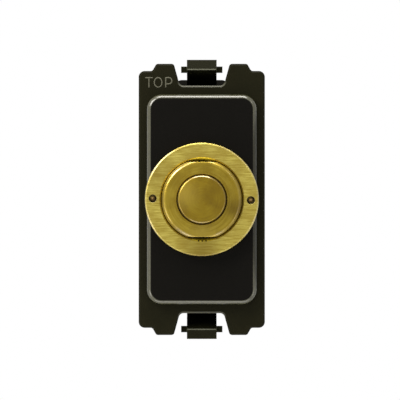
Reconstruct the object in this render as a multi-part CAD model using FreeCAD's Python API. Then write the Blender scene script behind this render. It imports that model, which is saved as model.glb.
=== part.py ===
"""Push button switch module for a wall plate: a black clip-in module with an antique brass button.

Frame: +Z is up, the front faces -Y and +X is to the right of someone facing the front.
The origin is the centre of the module in its seat plane, the front face of the flange that
bears on the back of the wall plate. All sizes are in millimetres.
"""

import FreeCAD
import Part
import math
import os

from FreeCAD import Vector

# Front frame: the flange that seats behind the wall plate
FRAME_WIDTH = 25.0
SHOULDER_HEIGHT = 50.9
SHOULDER_WIDTH = 2.7
SHOULDER_RADIUS = 1.2
TAB_HEIGHT = 53.75
TAB_DRAFT = 0.8
TAB_RADIUS = 0.6
NOTCH_MOUTH_WIDTH = 11.1
NOTCH_FLOOR_WIDTH = 8.7
NOTCH_FLOOR_HEIGHT = 45.1
NOTCH_RADIUS = 1.0
FLANGE_THICK = 2.4
FLANGE_CHAMFER = 0.3

# Front frame: the raised panel that fills the plate's opening
PANEL_WIDTH = 21.7
PANEL_HEIGHT = 41.5
PANEL_CORNER_RADIUS = 2.9
PANEL_RISE = 2.8
PANEL_EDGE_RADIUS = 0.95
PANEL_WALL = 2.0

# Rear housing and the skirt of the front frame that plugs into it
HOUSING_WIDTH = 22.4
HOUSING_HEIGHT = 42.0
HOUSING_WALL = 1.5
HOUSING_CORNER_RADIUS = 1.6
HOUSING_CHAMFER = 0.7
BACK_WALL = 2.8
SKIRT_WALL = 1.2
SKIRT_DEPTH = 5.0
SKIRT_CLEARANCE = 0.1
SNAP_HEIGHT = 28.0
SNAP_WIDTH = 4.8
SNAP_DEPTH = 2.4
SNAP_SETBACK = 2.0
SNAP_BITE = 0.9
SNAP_CLEARANCE = 0.12
CAVITY_RADIUS = 0.6
RECESS_DEPTH = 0.4
RECESS_RADIUS = 1.2
BACK_RECESS_WIDTH = 16.4
BACK_RECESS_HEIGHT = 17.0
SIDE_RECESS_FRONT = 10.5
SIDE_RECESS_LENGTH = 14.0
SIDE_RECESS_HEIGHT = 32.0

# Brass bush with two flats, its ring nut and its washer
BUSH_DIAMETER = 15.9
BUSH_FLATS = 14.8
BUSH_STAND = 1.2
BUSH_CHAMFER = 0.5
BUSH_BORE = 9.9
BUSH_LIP = 4.7
BUSH_FLANGE_WIDTH = 1.05
BUSH_FLANGE_THICK = 1.5
BUSH_BARREL_DIAMETER = 15.0
BUSH_BARREL_LENGTH = 6.8
BUSH_CHAMBER = 12.4
BUSH_HOLE_CLEARANCE = 0.1
BUSH_RELIEF = 0.7
MOUTH_CHAMFER = 0.1
NUT_DIAMETER = 22.5
NUT_THICK = 2.4
NUT_RIM_RUN = 0.3
NUT_RIM_SHOULDER = 0.09
NUT_CLEARANCE = 0.15
NUT_MOUTH_RUN = 0.28
NUT_MOUTH_DEPTH = 0.18
NUT_TURN_DEG = 1.0
PIN_HOLE_DIAMETER = 1.6
PIN_HOLE_CIRCLE = 19.4
PIN_HOLE_DEPTH = 1.1
DRILL_POINT_DEG = 118.0
WASHER_THICK = 0.5

# Button, its pusher and its return spring
BUTTON_DIAMETER = 9.5
BUTTON_STAND = 2.6
BUTTON_DOME = 0.3
BUTTON_EDGE_RUN = 0.42
BUTTON_EDGE_SHOULDER = 0.12
BUTTON_TRAVEL = 2.2
BUTTON_SHOULDER_DIAMETER = 12.0
BUTTON_SHOULDER_THICK = 1.2
BUTTON_STOP_GAP = 0.05
PUSHER_DIAMETER = 4.0
PUSHER_SOCKET_DEPTH = 5.0
PUSHER_CLEARANCE = 0.02
COLLAR_DIAMETER = 7.0
COLLAR_THICK = 1.0
COLLAR_GAP = 0.3
TAIL_DIAMETER = 2.8
TAIL_OVERHANG = 0.7
GUIDE_THICK = 1.5
GUIDE_BOSS = 0.8
GUIDE_BOSS_CLEARANCE = 0.3
GUIDE_CLEARANCE = 0.05
GUIDE_BORE_CLEARANCE = 0.1
RING_THICK = 0.5
RING_BITE = 0.45
RING_WIDTH = 1.3
RING_OPENING_DEG = 60.0
RING_CLEARANCE = 0.05
RING_SETBACK = 0.3
WIRE_SIDES = 6
WIRE_STEPS = 14
RETURN_COIL_DIAMETER = 9.9
RETURN_WIRE = 0.55
RETURN_ACTIVE_TURNS = 3

# Contacts: a sprung bridge on the pusher closes two fixed contacts
CONTACT_SPRING_LENGTH = 2.5
CONTACT_COIL_DIAMETER = 4.6
CONTACT_WIRE = 0.4
CONTACT_ACTIVE_TURNS = 2
SPRING_SEAT_GAP = 0.02
BRIDGE_WIDTH = 5.0
BRIDGE_OVERHANG = 1.6
BRIDGE_THICK = 0.8
BRIDGE_BORE_CLEARANCE = 0.1
CLIP_THICK = 0.5
CLIP_DIAMETER = 5.6
CLIP_GROOVE_DEPTH = 0.35
CLIP_GAP = 0.1
CLIP_MOUTH_SHARE = 0.9
TIP_DIAMETER = 3.5
TIP_THICK = 0.8
TIP_CHAMFER = 0.3
CONTACT_SPREAD = 14.0
CONTACT_GAP = 1.6

# Terminals: a brass block, a strap, a stake and a clamp screw at each end
STRAP_THICK = 0.8
STRAP_WIDTH = 4.6
STAKE_DIAMETER = 2.0
STAKE_HEAD_DIAMETER = 3.4
STAKE_HEAD_THICK = 0.6
STAKE_DEPTH = 1.0
BLOCK_WIDTH = 7.0
BLOCK_HEIGHT = 9.0
BLOCK_DEPTH = 8.6
BLOCK_CHAMFER = 0.7
WIRE_BORE = 3.6
WIRE_BORE_DEPTH = 7.6
WIRE_FLOOR = 0.6
ENTRY_CLEARANCE = 0.3
SCREW_DIAMETER = 3.0
SCREW_CLEARANCE = 0.05
SCREW_HEAD_DIAMETER = 5.2
SCREW_HEAD_THICK = 1.8
SCREW_HEAD_SETBACK = 0.3
SCREW_TIP_GAP = 0.4
SCREW_WELL_CLEARANCE = 0.2
SLOT_WIDTH = 0.8
SLOT_DEPTH = 0.9
POCKET_RIB = 1.2
POCKET_RIB_SETBACK = 1.4
PILLAR_DIAMETER = 4.4

# Spring latches at the top and bottom, each on two trunnions
LATCH_WIDTH = 5.9
LATCH_RIDGE_RISE = 3.95
LATCH_HEAD_RISE = 1.95
LATCH_RIDGE_SETBACK = 1.2
LATCH_LENGTH = 13.4
LATCH_ARM_THICK = 1.3
LATCH_RAMP = 1.4
LATCH_HEAD_DEPTH = 3.2
LATCH_UNDERCUT = 0.75
EAR_WIDTH = 8.2
EAR_HEIGHT = 1.25
EAR_DEPTH = 1.6
EAR_SETBACK = 1.2
TRUNNION_DIAMETER = 1.2
TRUNNION_STAND = 0.8
TRUNNION_REACH = 1.55
TRUNNION_CLEARANCE = 0.05
CHEEK_GAP = 0.15
CHEEK_THICK = 1.6
CHEEK_MARGIN = 0.5
CHEEK_RISE = 0.15
CHEEK_SLOT = 1.0

# Polarising rib behind the latch, at the top only
RIB_WIDTH = 10.4
RIB_HEIGHT = 2.9
RIB_THICK = 1.2
RIB_RADIUS = 1.2
RIB_SETBACK = 1.6

# Planes along the depth, from the front to the back
PANEL_FRONT = -PANEL_RISE
PANEL_BACK = PANEL_FRONT + PANEL_WALL
NUT_FRONT = PANEL_FRONT - NUT_THICK
BUSH_FRONT = NUT_FRONT - BUSH_STAND
BUTTON_FRONT = BUSH_FRONT - BUTTON_STAND
WASHER_BACK = PANEL_BACK + WASHER_THICK
BUSH_FLANGE_BACK = WASHER_BACK + BUSH_FLANGE_THICK
BUSH_BACK = BUSH_FLANGE_BACK + BUSH_BARREL_LENGTH
BUSH_STEP = BUSH_FRONT + BUSH_LIP
BUTTON_SHOULDER_FRONT = BUSH_STEP + BUTTON_STOP_GAP
BUTTON_BACK = BUTTON_SHOULDER_FRONT + BUTTON_SHOULDER_THICK
RING_BACK = BUSH_BACK - RING_SETBACK
RING_FRONT = RING_BACK - RING_THICK
GUIDE_BACK = RING_FRONT - RING_CLEARANCE
GUIDE_FRONT = GUIDE_BACK - GUIDE_THICK
PUSHER_FRONT = BUTTON_BACK - PUSHER_SOCKET_DEPTH
COLLAR_FRONT = BUSH_BACK + COLLAR_GAP
COLLAR_BACK = COLLAR_FRONT + COLLAR_THICK
BRIDGE_FRONT = COLLAR_BACK + CONTACT_SPRING_LENGTH
BRIDGE_BACK = BRIDGE_FRONT + BRIDGE_THICK
CLIP_FRONT = BRIDGE_BACK + CLIP_GAP
CLIP_BACK = CLIP_FRONT + CLIP_THICK
TAIL_BACK = CLIP_BACK + TAIL_OVERHANG
MOVING_TIP_BACK = BRIDGE_BACK + TIP_THICK
FIXED_TIP_FRONT = MOVING_TIP_BACK + CONTACT_GAP
STRAP_FRONT = FIXED_TIP_FRONT + TIP_THICK
BLOCK_FRONT = STRAP_FRONT + STRAP_THICK
BLOCK_BACK = BLOCK_FRONT + BLOCK_DEPTH
HOUSING_BACK = BLOCK_BACK + BACK_WALL
SKIRT_BACK = FLANGE_THICK + SKIRT_DEPTH

# Half sizes and places that several pieces share
CAVITY_X = HOUSING_WIDTH / 2 - HOUSING_WALL
CAVITY_Z = HOUSING_HEIGHT / 2 - HOUSING_WALL
SKIRT_X = CAVITY_X - SKIRT_CLEARANCE
SKIRT_Z = CAVITY_Z - SKIRT_CLEARANCE
HOUSING_TOP = HOUSING_HEIGHT / 2
BUSH_RADIUS = BUSH_DIAMETER / 2
BUSH_FLANGE_RADIUS = BUSH_RADIUS + BUSH_FLANGE_WIDTH
CHAMBER_RADIUS = BUSH_CHAMBER / 2
PUSHER_RADIUS = PUSHER_DIAMETER / 2
TAIL_RADIUS = TAIL_DIAMETER / 2
CONTACT_Z = CONTACT_SPREAD / 2
TERMINAL_X = CAVITY_X - BLOCK_WIDTH / 2
BLOCK_INNER_X = CAVITY_X - BLOCK_WIDTH
BLOCK_INNER_Z = CAVITY_Z - BLOCK_HEIGHT
SCREW_Z = CAVITY_Z - BLOCK_HEIGHT / 2
WIRE_Y = BLOCK_FRONT + STAKE_DEPTH + WIRE_FLOOR + WIRE_BORE / 2
PIVOT_Y = LATCH_RIDGE_SETBACK + LATCH_LENGTH
PIVOT_Z = HOUSING_TOP + TRUNNION_STAND
CHEEK_X = LATCH_WIDTH / 2 + CHEEK_GAP

DEPTH = Vector(0, 1, 0)
ORIGIN = Vector(0, 0, 0)
WELD = 0.2  # how far a rib or cheek is sunk into the wall that it grows from
OVERCUT = 1.0  # how far a cutting tool runs past the face that it opens


def rounded_wire(corners, place):
    """A closed wire through (u, v, radius) corners, each rounded by an arc; place(u, v) gives the point."""
    count = len(corners)
    stops = []
    for i, (u, v, radius) in enumerate(corners):
        corner = Vector(u, v, 0)
        before = Vector(*corners[i - 1][:2], 0) - corner
        after = Vector(*corners[(i + 1) % count][:2], 0) - corner
        before.normalize()
        after.normalize()
        half_angle = before.getAngle(after) / 2
        if radius == 0:
            stops.append((corner, None, corner))
            continue
        run = radius / math.tan(half_angle)
        inward = before + after
        inward.normalize()
        middle = corner + inward * (radius / math.sin(half_angle) - radius)
        stops.append((corner + before * run, middle, corner + after * run))
    edges = []
    for i, (start, middle, end) in enumerate(stops):
        if middle is not None:
            arc = Part.Arc(place(start.x, start.y), place(middle.x, middle.y), place(end.x, end.y))
            edges.append(arc.toShape())
        following = stops[(i + 1) % count][0]
        edges.append(Part.makeLine(place(end.x, end.y), place(following.x, following.y)))
    return Part.Wire(edges)


def prism(corners, y_front, y_back):
    """A solid with a rounded outline in X and Z, from y_front to y_back."""
    wire = rounded_wire(corners, lambda x, z: Vector(x, y_front, z))
    return Part.Face(wire).extrude(Vector(0, y_back - y_front, 0))


def rectangle(half_x, half_z, radius):
    """Corners of a rectangle about the depth axis."""
    return [
        (half_x, half_z, radius),
        (-half_x, half_z, radius),
        (-half_x, -half_z, radius),
        (half_x, -half_z, radius),
    ]


def box(x_low, x_high, y_low, y_high, z_low, z_high):
    """A box between two corners."""
    return Part.makeBox(x_high - x_low, y_high - y_low, z_high - z_low, Vector(x_low, y_low, z_low))


def disc(radius, y_front, y_back, x=0.0, z=0.0):
    """A cylinder along the depth, from y_front to y_back."""
    return Part.makeCylinder(radius, y_back - y_front, Vector(x, y_front, z), DEPTH)


def double_flat_disc(radius, flats, y_front, y_back):
    """A cylinder along the depth with two flats, at the top and the bottom."""
    slab = box(-radius, radius, y_front, y_back, -flats / 2, flats / 2)
    return disc(radius, y_front, y_back).common(slab)


def turned(profile):
    """A solid of revolution about the depth axis, from the (radius, y) corners of its half section."""
    points = [Vector(radius, y, 0) for radius, y in profile]
    outline = Part.makePolygon(points + points[:1])
    return Part.Face(outline).revolve(ORIGIN, DEPTH, 360)


def half_turn(shape):
    """A copy of a shape for the other end of the module, half a turn about the depth axis."""
    copy = shape.copy()
    copy.rotate(ORIGIN, DEPTH, 180)
    return copy


def edges_at(shape, y):
    """The edges of a shape that lie in one plane across the depth."""
    return [e for e in shape.Edges if abs(e.BoundBox.YMin - y) < 1e-6 and abs(e.BoundBox.YMax - y) < 1e-6]


def circle_edges(shape, radius, y):
    """The round edges of one radius that lie in one plane across the depth."""
    return [
        e
        for e in edges_at(shape, y)
        if isinstance(e.Curve, Part.Circle) and abs(e.Curve.Radius - radius) < 1e-6
    ]


def coil_spring(coil_diameter, wire_diameter, active_turns, y_front, y_back):
    """Wire wound along the depth between two seats, lofted through its own section at even steps.

    The first and the last half turn lie flat on their seats, and the turns between them rise evenly.
    """
    rise = y_back - y_front - wire_diameter
    steps = WIRE_STEPS * (active_turns + 1)
    sections = []
    for i in range(steps + 1):
        turn = i / WIRE_STEPS
        climb = min(max(turn - 0.5, 0), active_turns) / active_turns
        angle = 2 * math.pi * turn
        outward = Vector(math.cos(angle), 0, math.sin(angle))
        centre = outward * (coil_diameter / 2) + DEPTH * (y_front + wire_diameter / 2 + rise * climb)
        corners = []
        for k in range(WIRE_SIDES + 1):
            lean = 2 * math.pi * k / WIRE_SIDES
            corners.append(centre + (outward * math.sin(lean) + DEPTH * math.cos(lean)) * (wire_diameter / 2))
        sections.append(Part.makePolygon(corners))
    return Part.makeLoft(sections, True, True)


def flange_outline():
    """The flange: square shoulders, a tab each side of a latch notch, the same at top and bottom."""
    tab_foot = FRAME_WIDTH / 2 - SHOULDER_WIDTH
    quarter = [
        (NOTCH_FLOOR_WIDTH / 2, NOTCH_FLOOR_HEIGHT / 2, NOTCH_RADIUS),
        (NOTCH_MOUTH_WIDTH / 2, TAB_HEIGHT / 2, TAB_RADIUS),
        (tab_foot - TAB_DRAFT, TAB_HEIGHT / 2, TAB_RADIUS),
        (tab_foot, SHOULDER_HEIGHT / 2, TAB_RADIUS),
        (FRAME_WIDTH / 2, SHOULDER_HEIGHT / 2, SHOULDER_RADIUS),
    ]
    upper_left = [(-x, z, radius) for x, z, radius in reversed(quarter)]
    lower_left = [(-x, -z, radius) for x, z, radius in quarter]
    lower_right = [(x, -z, radius) for x, z, radius in reversed(quarter)]
    return quarter + lower_right + lower_left + upper_left


def snap_places():
    """(side, height) of the four snaps that join the housing to the skirt."""
    return [(side, end * SNAP_HEIGHT / 2) for side in (-1, 1) for end in (-1, 1)]


def snap_hook(side, height):
    """One wedge on the skirt, with its catch face towards the front."""
    y_catch = FLANGE_THICK + SNAP_SETBACK
    low = height - SNAP_WIDTH / 2
    points = [
        Vector(side * (SKIRT_X - WELD), y_catch, low),
        Vector(side * (SKIRT_X + SNAP_BITE), y_catch, low),
        Vector(side * (SKIRT_X - WELD), y_catch + SNAP_DEPTH, low),
    ]
    return Part.Face(Part.makePolygon(points + points[:1])).extrude(Vector(0, 0, SNAP_WIDTH))


def snap_window(side, height):
    """The opening in the housing's side wall that takes one snap hook."""
    y_front = FLANGE_THICK + SNAP_SETBACK - SNAP_CLEARANCE
    y_back = FLANGE_THICK + SNAP_SETBACK + SNAP_DEPTH + SNAP_CLEARANCE
    half = SNAP_WIDTH / 2 + SNAP_CLEARANCE
    inner, outer = sorted((side * (CAVITY_X - OVERCUT), side * (HOUSING_WIDTH / 2 + OVERCUT)))
    return box(inner, outer, y_front, y_back, height - half, height + half)


def front_frame():
    """Flange, raised panel and skirt in one moulding, with a double-flat hole for the bush."""
    flange = prism(flange_outline(), 0, FLANGE_THICK)
    flange = flange.makeChamfer(FLANGE_CHAMFER, edges_at(flange, 0))
    panel_outline = rectangle(PANEL_WIDTH / 2, PANEL_HEIGHT / 2, PANEL_CORNER_RADIUS)
    panel = prism(panel_outline, PANEL_FRONT, FLANGE_THICK)
    panel = panel.makeFillet(PANEL_EDGE_RADIUS, edges_at(panel, PANEL_FRONT))
    skirt = prism(rectangle(SKIRT_X, SKIRT_Z, CAVITY_RADIUS), FLANGE_THICK - WELD, SKIRT_BACK)
    hooks = [snap_hook(side, height) for side, height in snap_places()]
    solid = flange.fuse([panel, skirt] + hooks)
    inner = rectangle(SKIRT_X - SKIRT_WALL, SKIRT_Z - SKIRT_WALL, CAVITY_RADIUS)
    cavity = prism(inner, PANEL_BACK, SKIRT_BACK + OVERCUT)
    relief = disc(BUSH_FLANGE_RADIUS + BUSH_RELIEF, PANEL_BACK, SKIRT_BACK + OVERCUT)
    hole = double_flat_disc(
        BUSH_RADIUS + BUSH_HOLE_CLEARANCE,
        BUSH_FLATS + 2 * BUSH_HOLE_CLEARANCE,
        PANEL_FRONT - OVERCUT,
        PANEL_BACK + OVERCUT,
    )
    return solid.cut([cavity, relief, hole]).removeSplitter()


def latch_cheeks():
    """Two cheeks on the housing's top wall, each with a snap-in socket for a trunnion."""
    half_depth = TRUNNION_DIAMETER / 2 + CHEEK_MARGIN
    top = PIVOT_Z + TRUNNION_DIAMETER / 2 + CHEEK_RISE
    socket = Part.makeCylinder(
        TRUNNION_DIAMETER / 2 + TRUNNION_CLEARANCE,
        2 * (CHEEK_X + CHEEK_THICK),
        Vector(-CHEEK_X - CHEEK_THICK, PIVOT_Y, PIVOT_Z),
        Vector(1, 0, 0),
    )
    slot_reach = CHEEK_X + CHEEK_THICK
    slot = box(
        -slot_reach,
        slot_reach,
        PIVOT_Y - CHEEK_SLOT / 2,
        PIVOT_Y + CHEEK_SLOT / 2,
        PIVOT_Z,
        top + OVERCUT,
    )
    cheeks = []
    for side in (-1, 1):
        near, far = sorted((side * CHEEK_X, side * (CHEEK_X + CHEEK_THICK)))
        cheek = box(near, far, PIVOT_Y - half_depth, PIVOT_Y + half_depth, HOUSING_TOP - WELD, top)
        cheeks.append(cheek.cut([socket, slot]))
    return cheeks


def polarising_rib():
    """A rib across the housing behind the top latch, so that the module seats one way up."""
    half = RIB_WIDTH / 2
    foot = HOUSING_TOP - WELD
    top = HOUSING_TOP + RIB_HEIGHT
    corners = [(half, top, RIB_RADIUS), (-half, top, RIB_RADIUS), (-half, foot, 0), (half, foot, 0)]
    y_front = PIVOT_Y + RIB_SETBACK
    return prism(corners, y_front, y_front + RIB_THICK)


def side_recess(side):
    """Cutter for the shallow panel in a side wall; side is -1 for the left wall and 1 for the right."""
    floor = side * (HOUSING_WIDTH / 2 - RECESS_DEPTH)
    back = SIDE_RECESS_FRONT + SIDE_RECESS_LENGTH
    half = SIDE_RECESS_HEIGHT / 2
    corners = [
        (SIDE_RECESS_FRONT, half, RECESS_RADIUS),
        (back, half, RECESS_RADIUS),
        (back, -half, RECESS_RADIUS),
        (SIDE_RECESS_FRONT, -half, RECESS_RADIUS),
    ]
    outline = rounded_wire(corners, lambda y, z: Vector(floor, y, z))
    return Part.Face(outline).extrude(Vector(side * (RECESS_DEPTH + OVERCUT), 0, 0))


def back_recess():
    """Cutter for the shallow panel in the back wall, between the screw wells."""
    outline = rectangle(BACK_RECESS_WIDTH / 2, BACK_RECESS_HEIGHT / 2, RECESS_RADIUS)
    return prism(outline, HOUSING_BACK - RECESS_DEPTH, HOUSING_BACK + OVERCUT)


def terminal_pocket():
    """The ribs that locate the top terminal block, and the pillar under its contact."""
    rib_front = BLOCK_FRONT + POCKET_RIB_SETBACK
    rib_back = BLOCK_BACK + WELD
    inner_x = BLOCK_INNER_X - POCKET_RIB
    inner_z = BLOCK_INNER_Z - POCKET_RIB
    side_rib = box(inner_x, BLOCK_INNER_X, rib_front, rib_back, inner_z, CAVITY_Z + WELD)
    cross_rib = box(inner_x, CAVITY_X + WELD, rib_front, rib_back, inner_z, BLOCK_INNER_Z)
    pillar = disc(PILLAR_DIAMETER / 2, BLOCK_FRONT, BLOCK_BACK + WELD, 0, CONTACT_Z)
    return [side_rib, cross_rib, pillar]


def terminal_openings():
    """Cutters for the top terminal: the wire entry in the end wall and the screw well in the back."""
    entry = Part.makeCylinder(
        WIRE_BORE / 2 + ENTRY_CLEARANCE,
        HOUSING_WALL + 2 * OVERCUT,
        Vector(TERMINAL_X, WIRE_Y, CAVITY_Z - OVERCUT),
        Vector(0, 0, 1),
    )
    well_radius = SCREW_HEAD_DIAMETER / 2 + SCREW_WELL_CLEARANCE
    well = disc(well_radius, BLOCK_BACK - OVERCUT, HOUSING_BACK + OVERCUT, TERMINAL_X, SCREW_Z)
    return [entry, well]


def rear_housing():
    """The moulded box behind the frame: it holds the terminals and carries the latches."""
    outer = rectangle(HOUSING_WIDTH / 2, HOUSING_TOP, HOUSING_CORNER_RADIUS)
    shell = prism(outer, FLANGE_THICK, HOUSING_BACK)
    shell = shell.makeChamfer(HOUSING_CHAMFER, edges_at(shell, HOUSING_BACK))
    cavity = prism(rectangle(CAVITY_X, CAVITY_Z, CAVITY_RADIUS), FLANGE_THICK - OVERCUT, BLOCK_BACK)
    shell = shell.cut(cavity)
    one_end = latch_cheeks() + terminal_pocket()
    both_ends = one_end + [half_turn(piece) for piece in one_end]
    shell = shell.fuse(both_ends + [polarising_rib()])
    openings = terminal_openings()
    windows = [snap_window(side, height) for side, height in snap_places()]
    recesses = [side_recess(-1), side_recess(1), back_recess()]
    tools = openings + [half_turn(tool) for tool in openings] + windows + recesses
    return shell.cut(tools).removeSplitter()


def ring_nut():
    """The round brass nut on the bush, with a broken rim and two drilled holes for a pin spanner."""
    radius = NUT_DIAMETER / 2
    bore_radius = BUSH_RADIUS + NUT_CLEARANCE
    nut = turned(
        [
            (bore_radius, NUT_FRONT + NUT_MOUTH_DEPTH),
            (bore_radius + NUT_MOUTH_RUN, NUT_FRONT),
            (radius - NUT_RIM_RUN, NUT_FRONT),
            (radius - NUT_RIM_SHOULDER, NUT_FRONT + NUT_RIM_SHOULDER),
            (radius, NUT_FRONT + NUT_RIM_RUN),
            (radius, PANEL_FRONT),
            (bore_radius, PANEL_FRONT),
        ]
    )
    hole_radius = PIN_HOLE_DIAMETER / 2
    point_depth = hole_radius / math.tan(math.radians(DRILL_POINT_DEG / 2))
    drill = turned(
        [
            (0, NUT_FRONT - OVERCUT),
            (hole_radius, NUT_FRONT - OVERCUT),
            (hole_radius, NUT_FRONT + PIN_HOLE_DEPTH),
            (0, NUT_FRONT + PIN_HOLE_DEPTH + point_depth),
        ]
    )
    for side in (-1, 1):
        hole = drill.translated(Vector(side * PIN_HOLE_CIRCLE / 2, 0, 0))
        hole.rotate(ORIGIN, DEPTH, NUT_TURN_DEG)
        nut = nut.cut(hole)
    return nut


def bush():
    """The brass bush: a double-flat nose through the panel, a flange behind it and a sprung chamber."""
    nose = double_flat_disc(BUSH_RADIUS, BUSH_FLATS, BUSH_FRONT, WASHER_BACK)
    nose = nose.makeChamfer(BUSH_CHAMFER, edges_at(nose, BUSH_FRONT))
    flange = disc(BUSH_FLANGE_RADIUS, WASHER_BACK, BUSH_FLANGE_BACK)
    barrel = disc(BUSH_BARREL_DIAMETER / 2, BUSH_FLANGE_BACK, BUSH_BACK)
    body = nose.fuse([flange, barrel])
    bore = disc(BUSH_BORE / 2, BUSH_FRONT - OVERCUT, BUSH_BACK)
    chamber = disc(CHAMBER_RADIUS, BUSH_STEP, BUSH_BACK + OVERCUT)
    groove_radius = CHAMBER_RADIUS + RING_BITE + RING_CLEARANCE
    groove = disc(groove_radius, RING_FRONT - RING_CLEARANCE, RING_BACK + RING_CLEARANCE)
    body = body.cut([bore, chamber, groove]).removeSplitter()
    return body.makeChamfer(MOUTH_CHAMFER, circle_edges(body, BUSH_BORE / 2, BUSH_FRONT))


def bush_washer():
    """The fibre washer between the panel and the bush's flange."""
    ring = disc(BUSH_FLANGE_RADIUS, PANEL_BACK, WASHER_BACK)
    hole = disc(BUSH_RADIUS + BUSH_HOLE_CLEARANCE, PANEL_BACK - OVERCUT, WASHER_BACK + OVERCUT)
    return ring.cut(hole)


def button():
    """The brass button: a shallow dome, a broken edge, a stop shoulder and a socket for the pusher."""
    radius = BUTTON_DIAMETER / 2
    rim_radius = radius - BUTTON_EDGE_RUN
    rim = BUTTON_FRONT + BUTTON_DOME
    socket_radius = PUSHER_RADIUS + PUSHER_CLEARANCE
    body = turned(
        [
            (0, BUTTON_FRONT - OVERCUT),
            (rim_radius, BUTTON_FRONT - OVERCUT),
            (rim_radius, rim),
            (radius - BUTTON_EDGE_SHOULDER, rim + BUTTON_EDGE_SHOULDER),
            (radius, rim + BUTTON_EDGE_RUN),
            (radius, BUTTON_SHOULDER_FRONT),
            (BUTTON_SHOULDER_DIAMETER / 2, BUTTON_SHOULDER_FRONT),
            (BUTTON_SHOULDER_DIAMETER / 2, BUTTON_BACK),
            (socket_radius, BUTTON_BACK),
            (socket_radius, PUSHER_FRONT - PUSHER_CLEARANCE),
            (0, PUSHER_FRONT - PUSHER_CLEARANCE),
        ]
    )
    dome_radius = (rim_radius**2 + BUTTON_DOME**2) / (2 * BUTTON_DOME)
    return body.common(Part.makeSphere(dome_radius, Vector(0, BUTTON_FRONT + dome_radius, 0)))


def pusher():
    """The nylon pusher: a stem in the button, a collar for the contact spring and a tail for the bridge."""
    groove_radius = TAIL_RADIUS - CLIP_GROOVE_DEPTH
    return turned(
        [
            (0, PUSHER_FRONT),
            (PUSHER_RADIUS, PUSHER_FRONT),
            (PUSHER_RADIUS, COLLAR_FRONT),
            (COLLAR_DIAMETER / 2, COLLAR_FRONT),
            (COLLAR_DIAMETER / 2, COLLAR_BACK),
            (TAIL_RADIUS, COLLAR_BACK),
            (TAIL_RADIUS, CLIP_FRONT),
            (groove_radius, CLIP_FRONT),
            (groove_radius, CLIP_BACK),
            (TAIL_RADIUS, CLIP_BACK),
            (TAIL_RADIUS, TAIL_BACK),
            (0, TAIL_BACK),
        ]
    )


def guide_cap():
    """The nylon cap in the bush's rear end: it guides the pusher and seats the return spring."""
    boss_radius = (RETURN_COIL_DIAMETER - RETURN_WIRE) / 2 - GUIDE_BOSS_CLEARANCE
    cap = disc(CHAMBER_RADIUS - GUIDE_CLEARANCE, GUIDE_FRONT, GUIDE_BACK)
    boss = disc(boss_radius, GUIDE_FRONT - GUIDE_BOSS, GUIDE_FRONT)
    bore_radius = PUSHER_RADIUS + GUIDE_BORE_CLEARANCE
    bore = disc(bore_radius, GUIDE_FRONT - GUIDE_BOSS - OVERCUT, GUIDE_BACK + OVERCUT)
    return cap.fuse(boss).cut(bore).removeSplitter()


def open_ring(outer_radius, inner_radius, y_front, y_back, opening_deg):
    """A flat ring with a radial opening at the top."""
    ring = disc(outer_radius, y_front, y_back).cut(disc(inner_radius, y_front - OVERCUT, y_back + OVERCUT))
    half = math.radians(opening_deg / 2)
    reach = outer_radius + OVERCUT
    points = [
        Vector(0, y_front - OVERCUT, 0),
        Vector(-reach * math.tan(half), y_front - OVERCUT, reach),
        Vector(reach * math.tan(half), y_front - OVERCUT, reach),
    ]
    triangle = Part.Face(Part.makePolygon(points + points[:1]))
    wedge = triangle.extrude(Vector(0, y_back - y_front + 2 * OVERCUT, 0))
    return ring.cut(wedge)


def guide_ring():
    """The spring steel ring that holds the guide cap in the bush."""
    outer_radius = CHAMBER_RADIUS + RING_BITE
    return open_ring(outer_radius, outer_radius - RING_WIDTH, RING_FRONT, RING_BACK, RING_OPENING_DEG)


def bridge_clip():
    """The steel clip in the tail's groove that keeps the bridge on the pusher."""
    groove_radius = TAIL_RADIUS - CLIP_GROOVE_DEPTH
    y_front = CLIP_FRONT + RING_CLEARANCE
    y_back = CLIP_BACK - RING_CLEARANCE
    ring = disc(CLIP_DIAMETER / 2, y_front, y_back)
    bore = disc(groove_radius + RING_CLEARANCE, y_front - OVERCUT, y_back + OVERCUT)
    half_mouth = CLIP_MOUTH_SHARE * groove_radius
    mouth = box(-half_mouth, half_mouth, y_front - OVERCUT, y_back + OVERCUT, 0, CLIP_DIAMETER)
    return ring.cut([bore, mouth])


def contact_bridge():
    """The copper bar on the pusher's tail, with rounded ends."""
    half_length = CONTACT_Z + BRIDGE_OVERHANG
    bar = prism(rectangle(BRIDGE_WIDTH / 2, half_length, BRIDGE_OVERHANG), BRIDGE_FRONT, BRIDGE_BACK)
    return bar.cut(disc(TAIL_RADIUS + BRIDGE_BORE_CLEARANCE, BRIDGE_FRONT - OVERCUT, BRIDGE_BACK + OVERCUT))


def contact_tip(y_front, working_face):
    """One silver contact at the upper end, with the edge of its working face chamfered."""
    tip = disc(TIP_DIAMETER / 2, y_front, y_front + TIP_THICK, 0, CONTACT_Z)
    return tip.makeChamfer(TIP_CHAMFER, edges_at(tip, working_face))


def terminal_strap():
    """The upper strap: from the contact's pillar up to the front of the terminal block."""
    half = STRAP_WIDTH / 2
    outline = [
        (-half, CONTACT_Z - half, 0),
        (half, CONTACT_Z - half, 0),
        (TERMINAL_X + half, SCREW_Z - half, 0),
        (TERMINAL_X + half, SCREW_Z + half, 0),
        (TERMINAL_X - half, SCREW_Z + half, 0),
        (-half, CONTACT_Z + half, 0),
    ]
    strap = prism(outline, STRAP_FRONT, BLOCK_FRONT)
    stake_radius = STAKE_DIAMETER / 2
    hole = disc(stake_radius, STRAP_FRONT - OVERCUT, BLOCK_FRONT + OVERCUT, TERMINAL_X, SCREW_Z)
    return strap.cut(hole)


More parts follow.
